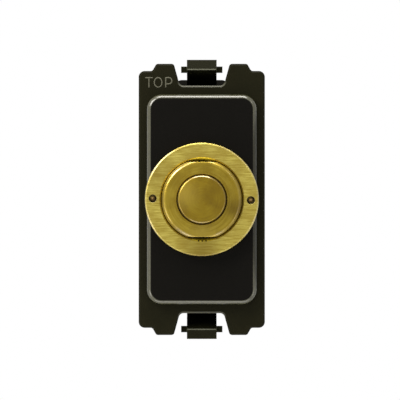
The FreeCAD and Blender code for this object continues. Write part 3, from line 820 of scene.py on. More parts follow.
NUT_BRASS = BrassFinish(
    name="nut_brushed_brass",
    lay=Lay.STRAIGHT,
    light=Tone(203, 188, 94),
    dark=Tone(125, 106, 22),
    stain=Tone(136, 113, 36),
    edge=Tone(216, 202, 140),
    fineness=4200.0,
    line_weight=0.5,
    height=0.012,
    roughness=0.38,
    edge_gloss=0.5,
    lacquer_ior=1.9,
    polished_places=(Spot(5.6, 9.4, 5.5, softness=0.8),),
    spots=(
        # Painted shade: darker towards the bottom, and over the left and upper left.
        Spot(0.0, -10.4, 5.8, PAINTED_SHADE, 1.0, 0.72),
        Spot(-9.6, 5.2, 6.0, PAINTED_SHADE, 1.0, 0.32),
        # Painted highlights in the mouth's chamfer, above and below the bush's flats.
        Spot(0.0, 8.4, 3.2, CHAMFER_HIGHLIGHT, 0.6, 0.7, NUT_MOUTH),
        Spot(0.0, -8.4, 3.2, CHAMFER_HIGHLIGHT, 0.6, 0.6, NUT_MOUTH),
        # Painted shade round the spanner holes' walls, and painted light on their floors.
        *(Spot(x, z, 0.88, OXIDE_AND_SHADE) for x, z in NUT_HOLES),
        *(Spot(x, z, 0.55, LIT_HOLE_FLOOR, 0.8) for x, z in NUT_HOLES),
        *(Spot(x, z, 0.19, OXIDE_AND_SHADE, 0.3) for x, z in NUT_NICKS),
    ),
)
BUSH_BRASS = BrassFinish(
    name="bush_turned_brass",
    lay=Lay.ROUND,
    light=Tone(171, 150, 54),
    dark=Tone(129, 107, 16),
    stain=Tone(112, 90, 14),
    edge=Tone(168, 146, 62),
    fineness=3600.0,
    line_weight=0.45,
    height=0.005,
    roughness=0.36,
    edge_gloss=0.3,
    lacquer_ior=1.9,
    polished_places=(
        Spot(-4.4, 6.2, 3.6, softness=0.8),
        Spot(-3.8, -6.5, 3.0, softness=0.8),
        Spot(3.6, -6.6, 2.2, softness=0.8, share=0.7),
    ),
    spots=(
        # Painted shadow of the button on the bush's face, to its right.
        Spot(6.6, -1.8, 3.6, Tone(92, 72, 12), 1.0, 0.75),
        # A lighter patch towards the bottom of the bush.
        Spot(0.0, -6.4, 4.2, LIGHTER_BRASS, 1.0, 0.22),
    ),
    # Puts the painted sheen's darker sectors to the right of the button, as painted shade.
    phase=1.7,
    uneven_weight=0.3,
    stain_weight=0.6,
)
BUTTON_BRASS = BrassFinish(
    name="button_turned_brass",
    lay=Lay.ROUND,
    light=Tone(145, 123, 27),
    dark=Tone(114, 91, 7),
    stain=Tone(102, 79, 6),
    edge=Tone(172, 151, 68),
    fineness=3600.0,
    line_weight=0.32,
    height=0.004,
    roughness=0.36,
    edge_gloss=0.2,
    lacquer_ior=2.1,
    polished_places=(
        Spot(0.0, 4.8, 4.2, softness=0.8),
        Spot(-0.6, -4.7, 3.4, softness=0.8, share=0.6),
    ),
    spots=(
        # Painted light on the button's left side.
        Spot(-3.6, 0.9, 4.6, LIGHTER_BRASS, 1.0, 0.24),
        Spot(2.2, 1.6, 2.4, Tone(104, 82, 10), 1.0, 0.3),
    ),
    phase=4.1,
    uneven_weight=0.12,
    stain_weight=0.7,
)
FRAME_BLACK = PolishedMoulding(
    name="frame_black_moulding",
    tone=Tone(18, 17, 7),
    pale=Tone(23, 22, 10),
    edge=Tone(37, 36, 21),
    roughness=0.4,
    grain_size=6500.0,
    height=0.02,
    gloss=0.05,
    edge_radius=0.12,
    front_depth=-0.9,
    front=Tone(9, 8, 6),
    # Painted highlight on the round edges, over their polish.
    highlight_tone=Tone(53, 52, 33),
    # Painted highlight and polish on the notches' edges, stronger above.
    polished_places=(Spot(0.0, 22.3, 5.1, share=0.9), Spot(0.0, -22.3, 5.1, share=0.6)),
    # Painted shade: weaker polish and painted highlight on the edges right of x = 8.8 mm.
    dulled_and_shaded_places=(Spot(110.0, 0.0, 101.2, softness=0.01, share=0.6),),
)
# Raised marks in a grey much lighter than the moulding they stand on: a painted highlight.
MARK_HIGHLIT = MouldingFinish(
    name="mark_painted_highlight_moulding",
    tone=Tone(70, 69, 58),
    pale=Tone(92, 91, 77),
    edge=Tone(108, 107, 93),
    roughness=0.4,
    grain_size=6500.0,
    height=0.01,
    gloss=0.1,
    edge_radius=0.05,
)
HOUSING_BLACK = MouldingFinish(
    name="housing_black_moulding",
    tone=Tone(12, 11, 9),
    pale=Tone(19, 18, 15),
    edge=Tone(36, 34, 30),
    roughness=0.5,
    grain_size=5200.0,
    height=0.05,
    gloss=0.06,
    edge_radius=0.2,
)
RING_BLACK = MouldingFinish(
    name="ring_black_moulding",
    tone=Tone(30, 29, 25),
    pale=Tone(40, 39, 34),
    edge=Tone(52, 50, 44),
    roughness=0.45,
    grain_size=5200.0,
    height=0.02,
    gloss=0.14,
    edge_radius=0.05,
)
LATCH_BLACK = MouldingFinish(
    name="latch_black_moulding",
    tone=Tone(17, 17, 8),
    pale=Tone(25, 25, 13),
    edge=Tone(84, 85, 66),
    roughness=0.48,
    grain_size=6000.0,
    height=0.02,
    gloss=0.02,
    edge_radius=0.16,
)
# The latch ridges in a grey much lighter than the latch: a painted highlight line.
RIDGE_HIGHLIT = MouldingFinish(
    name="ridge_painted_highlight_moulding",
    tone=Tone(70, 71, 60),
    pale=Tone(92, 93, 80),
    edge=Tone(102, 102, 90),
    roughness=0.42,
    grain_size=6000.0,
    height=0.01,
    gloss=0.1,
    edge_radius=0.05,
)
TERMINAL_BRASS = BareMetalFinish(
    name="terminal_drawn_brass",
    tone=Tone(205, 172, 96),
    stain=Tone(160, 126, 60),
    roughness=0.28,
    line_length=18.0,
)
COPPER = BareMetalFinish(
    name="strap_rolled_copper",
    tone=Tone(206, 136, 98),
    stain=Tone(150, 88, 58),
    roughness=0.3,
    line_length=14.0,
)
SILVER = BareMetalFinish(
    name="contact_silver",
    tone=Tone(222, 219, 212),
    stain=Tone(176, 170, 158),
    roughness=0.26,
    line_length=6.0,
)
SPRING_STEEL = BareMetalFinish(
    name="spring_steel",
    tone=Tone(158, 158, 160),
    stain=Tone(120, 116, 110),
    roughness=0.26,
    line_length=10.0,
)
ZINC_PLATE = BareMetalFinish(
    name="screw_zinc_plate",
    tone=Tone(178, 178, 174),
    stain=Tone(138, 136, 127),
    roughness=0.34,
    line_length=4.0,
    grime_depth=27.45,
)
NYLON = SpeckledFinish(
    name="pusher_natural_nylon",
    tone=Tone(226, 221, 206),
    speck=Tone(206, 198, 178),
    roughness=0.45,
    speck_size=2400.0,
)
FIBRE = SpeckledFinish(
    name="washer_red_fibre",
    tone=Tone(122, 46, 34),
    speck=Tone(84, 30, 22),
    roughness=0.7,
    speck_size=5200.0,
)


def lattice_quads(rows: int, columns: int, wrap_rows: bool) -> np.ndarray:
    """Quads between neighbouring points of a grid whose last column joins the first.

    Args:
        rows: Points along the first parameter.
        columns: Points along the second parameter.
        wrap_rows: True if the last row joins the first.

    Returns:
        An array of four point numbers per quad.
    """
    row = np.arange(rows if wrap_rows else rows - 1)[:, None]
    column = np.arange(columns)[None, :]
    next_row = (row + 1) % rows
    next_column = (column + 1) % columns
    corners = np.broadcast_arrays(
        row * columns + column,
        row * columns + next_column,
        next_row * columns + next_column,
        next_row * columns + column,
    )
    return np.stack(corners, axis=-1).reshape(-1, 4)


def raise_surface(
    name: str, points: np.ndarray, wrap_rows: bool = False, crease_deg: float = 32.0
) -> Piece:
    """Makes a mesh object from a grid of points, with its poles merged and its faces outwards.

    Args:
        name: The piece's name.
        points: Places in metres, as rows by columns by three.
        wrap_rows: True if the last row joins the first, as the last column always does.
        crease_deg: Edges sharper than this stay sharp.

    Returns:
        The new object, at the origin.
    """
    quads = lattice_quads(*points.shape[:2], wrap_rows)
    mesh = bpy.data.meshes.new(name)
    mesh.from_pydata(points.reshape(-1, 3).tolist(), [], quads.tolist())
    work = bmesh.new()
    work.from_mesh(mesh)
    bmesh.ops.remove_doubles(work, verts=work.verts, dist=MERGE_DISTANCE)
    bmesh.ops.recalc_face_normals(work, faces=work.faces)
    work.to_mesh(mesh)
    work.free()
    mesh.polygons.foreach_set("use_smooth", np.ones(len(mesh.polygons), dtype=bool))
    mesh.set_sharp_from_angle(angle=math.radians(crease_deg))
    mesh.update()
    piece = bpy.data.objects.new(name, mesh)
    bpy.context.scene.collection.objects.link(piece)
    return piece


def raise_capped(name: str, points: np.ndarray, crease_deg: float = 32.0) -> Piece:
    """Makes a closed bar from a grid of sections, with both ends drawn to their centres.

    Args:
        name: The piece's name.
        points: Places in metres, as rows by columns by three.
        crease_deg: Edges sharper than this stay sharp.

    Returns:
        The new object, at the origin.
    """
    centres = points[[0, -1]].mean(axis=1, keepdims=True)
    ends = np.repeat(centres, points.shape[1], axis=1)
    capped = np.concatenate((ends[:1], points, ends[1:]))
    return raise_surface(name, capped, crease_deg=crease_deg)


def once_round(steps: int) -> np.ndarray:
    """Returns evenly spaced angles of one turn, in radians, without the last."""
    return np.linspace(0, WHOLE_TURN, steps, endpoint=False)


def turned(radius: np.ndarray, depth: np.ndarray, turn: np.ndarray) -> np.ndarray:
    """Places about the depth axis, (radius cos turn, depth, radius sin turn).

    Args:
        radius: Distances from the axis, in millimetres.
        depth: Depths, in millimetres.
        turn: Angles about the axis, in radians.

    Returns:
        Places in metres, with a last axis of three.
    """
    places = np.broadcast_arrays(radius * np.cos(turn), depth, radius * np.sin(turn))
    return np.stack(places, axis=-1) * MM


def dress(nodes: dict, names: tuple[str, ...], material: Material) -> None:
    """Gives solids of the frame their finish.

    Args:
        nodes: The frame's objects by node name.
        names: The nodes to dress.
        material: The finish.
    """
    for name in names:
        slots = nodes[name].data.materials
        slots.clear()
        slots.append(material)
        log.info("dressed %s in %s", name, material.name)


def seat(piece: Piece, body: Body, material: Material) -> None:
    """Finishes a new piece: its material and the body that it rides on.

    Args:
        piece: The new object.
        body: The body that carries it.
        material: The finish.
    """
    piece.data.materials.append(material)
    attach(piece, body.value)
    log.info("made %s, %d faces", piece.name, len(piece.data.polygons))


@dataclass
class ButtonCap:
    """The turned button: its dome, its polished edge, its stop shoulder and the pusher's socket.

    Sizes are in millimetres; its depth and its shoulder come from the solid.
    """

    radius: float = 4.75
    dome: float = 0.3
    edge_radius: float = 0.42
    shoulder_thick: float = 1.2
    socket_radius: float = 2.02
    socket_depth: float = 5.02
    segments: int = 192
    dome_steps: int = 28
    edge_steps: int = 14

    def profile(self) -> np.ndarray:
        """The half section, from the crown round to the socket's floor.

        The dome is a sphere: depth = front + R - sqrt(R squared - r squared). A round edge leads
        from it into the straight side: at an angle a, from the dome's slope to a right angle, the
        point is the edge's centre plus its radius times (sin a) outwards and (-cos a) in depth.

        Returns:
            An array of distance from the axis and depth pairs.
        """
        low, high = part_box("button")
        front, back, shoulder_radius = low.y / MM, high.y / MM, high.x / MM
        centre = self.radius - self.edge_radius
        sphere = (centre**2 + self.dome**2) / (2 * self.dome)
        slope = math.asin(centre / sphere)
        rim = centre + self.edge_radius * math.sin(slope)
        reach = np.linspace(0, rim, self.dome_steps)
        dome_depth = front + sphere - np.sqrt(sphere**2 - reach**2)
        angle = np.linspace(slope, math.pi / 2, self.edge_steps)
        edge_depth = dome_depth[-1] + self.edge_radius * (math.cos(slope) - np.cos(angle))
        shoulder_front = back - self.shoulder_thick
        floor = back - self.socket_depth
        rest = (
            (self.radius, shoulder_front),
            (shoulder_radius, shoulder_front),
            (shoulder_radius, back),
            (self.socket_radius, back),
            (self.socket_radius, floor),
            (0.0, floor),
        )
        dome = np.stack((reach, dome_depth), axis=-1)[:-1]
        edge = np.stack((centre + self.edge_radius * np.sin(angle), edge_depth), axis=-1)
        return np.concatenate((dome, edge, rest))

    def build(self) -> Piece:
        """Turns the half section about the depth axis.

        Returns:
            The new object.
        """
        profile = self.profile()
        points = turned(profile[:, :1], profile[:, 1:], once_round(self.segments))
        return raise_surface("button_cap", points)

    def dress(self, piece: Piece, material: Material) -> None:
        """Puts the cap in the solid button's place."""
        seat(piece, Body.PUSH, material)
        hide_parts("button")


@dataclass
class BushBody:
    """The bush: a round-edged nose with two milled flats, a flange, a barrel and a stepped bore.

    Sizes are in millimetres; the depths of its ends and its flange come from the solid.
    """

    nose_radius: float = 7.95
    flat_height: float = 7.4
    edge_radius: float = 0.9
    corner_sharpness: float = 110.0
    bore_radius: float = 4.95
    mouth_chamfer: float = 0.1
    flange_front: float = -0.3
    flange_back: float = 1.2
    barrel_radius: float = 7.5
    chamber_radius: float = 6.2
    chamber_front: float = -1.7
    segments: int = 288
    face_steps: int = 7
    edge_steps: int = 14
    least_sine: float = 1e-6

    def nose_outline(self, turn: np.ndarray) -> np.ndarray:
        """Distance of the nose's side from the axis at each angle.

        The round side is a circle and each flat is the flat's height over |sin t|; the two are
        joined by a soft minimum, (a^-p + b^-p)^(-1/p), which rounds the corners between them.

        Args:
            turn: Angles about the axis, in radians.

        Returns:
            Distances in millimetres.
        """
        flat = self.flat_height / np.maximum(np.abs(np.sin(turn)), self.least_sine)
        power = -self.corner_sharpness
        return self.nose_radius * (1 + (flat / self.nose_radius) ** power) ** (1 / power)

    def build(self) -> Piece:
        """Turns the half section about the axis, with the nose's side cut back to the flats.

        The front edge is a quarter round turned about the axis. At each angle it is followed up to
        the lean whose sine is (side - centre) / radius, where it meets the round side or the flat.

        Returns:
            The new object.
        """
        low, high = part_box("bush")
        front, back, flange_radius = low.y / MM, high.y / MM, high.x / MM
        turn = once_round(self.segments)
        all_round = np.ones((1, self.segments))
        outline = self.nose_outline(turn)
        centre = self.nose_radius - self.edge_radius
        reach = np.arcsin(np.clip((outline - centre) / self.edge_radius, 0, 1))
        lean = np.linspace(0, 1, self.edge_steps)[:, None] * reach
        mouth = self.bore_radius + self.mouth_chamfer
        face_radius = np.linspace(mouth, centre, self.face_steps)[:-1, None] * all_round
        rest = np.array(
            [
                (flange_radius, self.flange_front),
                (flange_radius, self.flange_back),
                (self.barrel_radius, self.flange_back),
                (self.barrel_radius, back),
                (self.chamber_radius, back),
                (self.chamber_radius, self.chamber_front),
                (self.bore_radius, self.chamber_front),
                (self.bore_radius, front + self.mouth_chamfer),
            ]
        )
        radius = (
            face_radius,
            centre + self.edge_radius * np.sin(lean),
            outline[None, :],
            rest[:, :1] * all_round,
        )
        depth = (
            np.full_like(face_radius, front),
            front + self.edge_radius * (1 - np.cos(lean)),
            self.flange_front * all_round,
            rest[:, 1:] * all_round,
        )
        points = turned(np.concatenate(radius), np.concatenate(depth), turn)
        return raise_surface("bush_body", points, wrap_rows=True)

    def dress(self, piece: Piece, material: Material) -> None:
        """Puts the bush in the solid bush's place."""
        seat(piece, Body.MODULE, material)
        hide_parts("bush")


@dataclass
class NutThread:
    """The nut's thread where the bush's flats leave it open, above and below the nose.

    Sizes are in millimetres; the nut's depth comes from the solid. The section is given as shares
    of the pitch and of the crest's height, and its feet as depths in the nut.
    """

    bore_radius: float = 8.1
    crest_radius: float = 7.74
    flat_height: float = 7.4
    clearance: float = 0.12
    pitch: float = 1.0
    first_crest: float = 0.95
    crests: int = 2
    steps: int = 48
    section: tuple = ((-0.45, -0.04), (-0.08, 1.0), (0.08, 1.0), (0.45, -0.04))

    def ridge(self, middle: float, depth: float) -> np.ndarray:
        """One crest over a flat: a blunt wedge carried along a short helix.

        At an angle t off the flat's middle the crest's radius is the larger of its own radius and
        the flat's distance, height / cos t, plus a clearance, so that it runs out into the bore.

        Args:
            middle: The flat's direction about the depth axis, in radians.
            depth: The crest's depth at the flat's middle.

        Returns:
            Places in metres, as steps by section points by three.
        """
        reach = math.acos(self.flat_height / (self.bore_radius - self.clearance))
        t = np.linspace(-reach, reach, self.steps)[:, None]
        crest = np.maximum(self.crest_radius, self.flat_height / np.cos(t) + self.clearance)
        height = self.bore_radius - np.minimum(crest, self.bore_radius)
        along, out = np.array(self.section).T
        lift = np.where(out < 0, out, out * height)
        y = depth + self.pitch * (t / WHOLE_TURN + along)
        return turned(self.bore_radius - lift, y, middle + t)

    def build(self) -> list[Piece]:
        """Makes the crests over both flats.

        Returns:
            The new objects.
        """
        low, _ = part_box("ring_nut")
        pieces = []
        for side, middle in (("top", math.pi / 2), ("bottom", -math.pi / 2)):
            for crest in range(self.crests):
                depth = low.y / MM + self.first_crest + crest * self.pitch
                name = f"nut_thread_{side}_{crest + 1}"
                pieces.append(raise_capped(name, self.ridge(middle, depth)))
        return pieces

    def dress(self, pieces: list[Piece], material: Material) -> None:
        """Lets the crests ride on the module in the nut's finish."""
        for piece in pieces:
            seat(piece, Body.MODULE, material)


@dataclass(frozen=True)
class CoilSpring:
    """A compression spring of round wire, with half a turn lying flat on each of its seats.

    Sizes are in millimetres; its seats come from the solid.

    Attributes:
        name: The piece's name.
        node: The solid that it stands for.
        body: The body that it rides on.
        coil_radius: From the axis to the wire's centre.
        wire_radius: The wire's radius.
        active_turns: Turns that rise from one seat to the other.
        travel: How much shorter it is when the button is fully in.
        held: The end that stays on its body. Not used.
        turn_steps: Sections in one turn.
        sides: Points round the wire.
    """

    name: str
    node: str
    body: Body
    coil_radius: float
    wire_radius: float
    active_turns: int
    travel: float
    held: End
    turn_steps: int = 28
    sides: int = 14

    def seats(self) -> tuple[float, float]:
        """Returns the depths of the front seat and the back seat."""
        low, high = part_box(self.node)
        return low.y / MM, high.y / MM

    def build(self) -> Piece:
        """Carries a circle along the winding.

        After u turns the wire's centre is at (R cos t, seat + wire radius + rise climb, R sin t)
        with t = 2 pi u; the climb goes evenly from 0 to 1 between half a turn from each end. A
        point of the wire is the centre plus the wire radius times (sin a) outwards and (cos a) in
        depth.

        Returns:
            The new object.
        """
        front, back = self.seats()
        whole = self.active_turns + 1
        turns = np.linspace(0, whole, self.turn_steps * whole + 1)[:, None]
        climb = np.clip(turns - 0.5, 0, self.active_turns) / self.active_turns
        around = once_round(self.sides)
        radius = self.coil_radius + self.wire_radius * np.sin(around)
        rise = back - front - 2 * self.wire_radius
        depth = front + self.wire_radius + rise * climb + self.wire_radius * np.cos(around)
        return raise_capped(self.name, turned(radius, depth, WHOLE_TURN * turns), crease_deg=60.0)

    def dress(self, piece: Piece, material: Material) -> None:
        """Puts the spring in the solid's place, and logs the share of its length kept when the
        button is fully in.

        Args:
            piece: The spring.
            material: Its finish.
        """
        seat(piece, self.body, material)
        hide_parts(self.node)
        front, back = self.seats()
        keep = 1 - self.travel / (back - front)
        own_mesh(piece)
        log.info("%s keeps %.2f of its length", self.name, keep)


@dataclass(frozen=True)
class RaisedLine:
    """A low rounded line on one face of a moulding.

    Attributes:
        face: The face that carries it.
        floor: Where the face lies along its own axis, in millimetres.
        stroke: The line's width, in millimetres.
        relief: The line's height, in millimetres.
        sides: Points round the line.
    """

    face: Face
    floor: float
    stroke: float
    relief: float
    sides: int = 16

    def place(self, across: np.ndarray, up: np.ndarray, rise: np.ndarray) -> np.ndarray:
        """Turns places on the face, as someone looking at it sees them, into places in the frame.

        Args:
            across: Distances to the right.
            up: Distances upwards.
            rise: Distances out of the face.

        Returns:
            Places in metres, with a last axis of three.
        """
        frames = {
            Face.FRONT: (across, self.floor - rise, up),
            Face.BACK: (-across, self.floor + rise, up),
            Face.LEFT: (self.floor - rise, -across, up),
            Face.RIGHT: (self.floor + rise, across, up),
        }
        return np.stack(np.broadcast_arrays(*frames[self.face]), axis=-1) * MM

    def build(self, name: str, path: np.ndarray, closed: bool = False) -> Piece:
        """Carries a flattened oval along a path on the face.

        A point is the path's point plus (half the stroke) cos a across the path and (relief) sin a
        out of the face; both shrink to nothing in a quarter round at the ends of an open path.

        Args:
            name: The piece's name.
            path: Points to the right and upwards, in millimetres.
            closed: True if the path is a ring.

        Returns:
            The new object.
        """
        if closed:
            along = np.roll(path, -1, axis=0) - np.roll(path, 1, axis=0)
            swell = np.ones((len(path), 1))
        else:
            along = np.gradient(path, axis=0)
            runs = np.linalg.norm(np.diff(path, axis=0), axis=1, keepdims=True)
            gone = np.concatenate(([[0.0]], np.cumsum(runs, axis=0)))
            nearest = np.minimum(gone, gone[-1] - gone) / (self.stroke / 2)
            swell = np.sqrt(np.clip(1 - (1 - np.clip(nearest, 0, 1)) ** 2, 0, 1))
        along = along / np.linalg.norm(along, axis=1, keepdims=True)
        around = once_round(self.sides)
        width = (self.stroke / 2) * swell * np.cos(around)
        across = path[:, :1] - along[:, 1:] * width
        up = path[:, 1:] + along[:, :1] * width
        points = self.place(across, up, self.relief * swell * np.sin(around))
        return raise_surface(name, points, wrap_rows=closed, crease_deg=80.0)


def straight_path(corners: tuple[tuple[float, float], ...], steps: int = 24) -> np.ndarray:
    """Points along the straight runs between corners, as (1 - t) of one corner plus t of the next.

    Args:
        corners: Corners in order.
        steps: Points on each run.

    Returns:
        An array of points.
    """
    ends = np.array(corners)
    t = np.linspace(0, 1, steps, endpoint=False)[None, :, None]
    runs = ends[:-1, None, :] * (1 - t) + ends[1:, None, :] * t
    return np.concatenate((runs.reshape(-1, 2), ends[-1:]))


def arc_path(
    centre: tuple[float, float],
    radii: tuple[float, float],
    turn_deg: tuple[float, float] = (0.0, 360.0),
    steps: int = 64,
) -> np.ndarray:
    """Points on an ellipse, the centre plus (first radius cos t, second radius sin t).

    Args:
        centre: The ellipse's centre.
        radii: Its two radii.
        turn_deg: First and last angle; a whole turn leaves out its last point.
        steps: Points on the arc.

    Returns:
        An array of points.
    """
    whole = abs(turn_deg[1] - turn_deg[0]) >= 360.0
    t = np.radians(np.linspace(*turn_deg, steps, endpoint=not whole))
    return np.stack((centre[0] + radii[0] * np.cos(t), centre[1] + radii[1] * np.sin(t)), axis=-1)


class MouldedMark:
    """Raised lines that are part of the module's mouldings."""

    def dress(self, pieces: list[Piece], material: Material) -> None:
        """Lets the lines ride on the module in a moulding's finish."""
        for piece in pieces:
            seat(piece, Body.MODULE, material)


@dataclass
class OrientationMark(MouldedMark):
    """The raised word on the flange that says which way up the module goes.

    Sizes are in millimetres, in X and Z on the flange's front face.
    """

    line: RaisedLine = RaisedLine(Face.FRONT, floor=0.0, stroke=0.25, relief=0.12)
    foot: float = 22.10
    head: float = 24.24
    bar_left: float = -11.26
    bar_right: float = -9.65
    ring_left: float = -9.52
    ring_right: float = -7.76
    stem: float = -7.26
    bowl_right: float = -5.79
    bowl_share: float = 0.29
    bowl_turn: tuple[float, float] = (88.0, -88.0)

    def build(self) -> list[Piece]:
        """Makes one line per stroke: straight T and stems, a round O and P's bowl.

        Returns:
            The new objects.
        """
        inset = self.line.stroke / 2
        top = self.head - inset
        middle = (self.foot + self.head) / 2
        t_stem = (self.bar_left + self.bar_right) / 2
        o_centre = ((self.ring_left + self.ring_right) / 2, middle)
        o_half = ((self.ring_right - self.ring_left) / 2, (self.head - self.foot) / 2)
        p_stem = self.stem + inset
        bowl = self.bowl_share * (self.head - self.foot)
        bend = self.bowl_right - inset - bowl
        waist = top - 2 * bowl
        hook = (
            straight_path(((p_stem, top), (bend, top))),
            arc_path((bend, top - bowl), (bowl, bowl), self.bowl_turn),
            straight_path(((bend, waist), (p_stem, waist))),
        )
        ring = arc_path(o_centre, (o_half[0] - inset, o_half[1] - inset))
        strokes = (
            ("mark_t_bar", straight_path(((self.bar_left, top), (self.bar_right, top))), False),
            ("mark_t_stem", straight_path(((t_stem, self.foot), (t_stem, top))), False),
            ("mark_o_ring", ring, True),
            ("mark_p_stem", straight_path(((p_stem, self.foot), (p_stem, self.head))), False),
            ("mark_p_bowl", np.concatenate(hook), False),
        )
        return [self.line.build(name, path, closed) for name, path, closed in strokes]


@dataclass
class TerminalNumbers(MouldedMark):
    """The numbers beside the terminals, to be read from the back.

    Sizes are in millimetres; the strokes are given as shares of half the numbers' height.
    """

    line: RaisedLine = RaisedLine(Face.BACK, floor=27.6, stroke=0.3, relief=0.2)
    one_place: tuple[float, float] = (-6.2, 6.6)
    two_place: tuple[float, float] = (6.2, -6.6)
    half_height: float = 1.0
    one_stroke: tuple = ((-0.45, 0.55), (0.0, 1.0), (0.0, -1.0))
    two_bowl: tuple[float, float] = (0.0, 0.45)
    two_radius: float = 0.55
    two_turn: tuple[float, float] = (165.0, -35.0)
    two_foot: tuple = ((-0.55, -1.0), (0.6, -1.0))

    def build(self) -> list[Piece]:
        """Makes a one beside the top terminal and a two beside the bottom one.

        Returns:
            The new objects.
        """
        size = self.half_height
        bowl = arc_path(self.two_bowl, (self.two_radius, self.two_radius), self.two_turn)
        two = np.concatenate((bowl, straight_path(self.two_foot)))
        one = straight_path(self.one_stroke)
        return [
            self.line.build("mark_terminal_one", one * size + self.one_place),
            self.line.build("mark_terminal_two", two * size + self.two_place),
        ]


@dataclass
class EjectorRings(MouldedMark):
    """Rings that ejector pins leave on the housing's back and sides, and the ring round the gate.

    Sizes are in millimetres.
    """

    stroke: float = 0.14
    relief: float = 0.08
    radius: float = 1.15
    gate_radius: float = 0.55
    back_floor: float = 27.6
    side_floor: float = 10.8
    back_place: tuple[float, float] = (5.9, 5.9)
    side_place: tuple[float, float] = (17.5, 11.5)

    def build(self) -> list[Piece]:
        """Makes each ring in its panel.

        Returns:
            The new objects.
        """
        x, z = self.back_place
        depth, height = self.side_place
        left, right = -self.side_floor, self.side_floor
        rings = (
            ("ring_back_1", Face.BACK, self.back_floor, (-x, -z), self.radius),
            ("ring_back_2", Face.BACK, self.back_floor, (x, z), self.radius),
            ("ring_gate", Face.BACK, self.back_floor, (0.0, 0.0), self.gate_radius),
            ("ring_left_1", Face.LEFT, left, (-depth, height), self.radius),
            ("ring_left_2", Face.LEFT, left, (-depth, -height), self.radius),
            ("ring_right_1", Face.RIGHT, right, (depth, height), self.radius),
            ("ring_right_2", Face.RIGHT, right, (depth, -height), self.radius),
        )
        pieces = []
        for name, face, floor, centre, radius in rings:
            line = RaisedLine(face, floor, self.stroke, self.relief)
            pieces.append(line.build(name, arc_path(centre, (radius, radius)), closed=True))
        return pieces


@dataclass(frozen=True)
class LatchRidge:
    """The rounded ridge across a latch's head, painted lighter than the latch as a highlight line.

    Sizes are in millimetres.

    Attributes:
        name: The piece's name.
        body: The latch's body.
        height: Where it lies along Z.
        half_width: Half its length along X.
        line: Its section and its depth.
        steps: Sections along it.
    """

    name: str
    body: Body
    height: float
    half_width: float = 2.94
    line: RaisedLine = RaisedLine(Face.FRONT, floor=1.27, stroke=0.26, relief=0.13, sides=20)
    steps: int = 47

    def build(self) -> Piece:
        """Carries the line straight across the head."""
        ends = ((-self.half_width, self.height), (self.half_width, self.height))
        return self.line.build(self.name, straight_path(ends, self.steps))

    def dress(self, piece: Piece, material: Material) -> None:
        """Lets the ridge ride on its latch."""
        seat(piece, self.body, material)


@dataclass(frozen=True)
class Lamp:
    """A soft rectangular lamp.

    Attributes:
        name: The lamp's name.
        place: Its centre, in metres.
        size: Its two sides, in metres.
        radiance: How bright its face is, where 1 is a white surface.
        tone: Its colour.
    """

    name: str
    place: tuple[float, float, float]
    size: tuple[float, float]
    radiance: float
    tone: Tone = Tone(255, 252, 246)

    def hang(self) -> None:
        """Adds the lamp, aimed at the module; its power is the radiance times pi times its area."""
        light = bpy.data.lights.new(self.name, "AREA")
        light.shape = "RECTANGLE"
        light.size, light.size_y = self.size
        light.energy = self.radiance * math.pi * self.size[0] * self.size[1]
        light.color = self.tone.linear()[:3]
        lamp = bpy.data.objects.new(self.name, light)
        lamp.location = self.place
        lamp.rotation_mode = "QUATERNION"
        lamp.rotation_quaternion = (-Vector(self.place)).to_track_quat("-Z", "Y")
        lamp.visible_camera = False
        bpy.context.scene.collection.objects.link(lamp)
        log.info("hung %s", self.name)


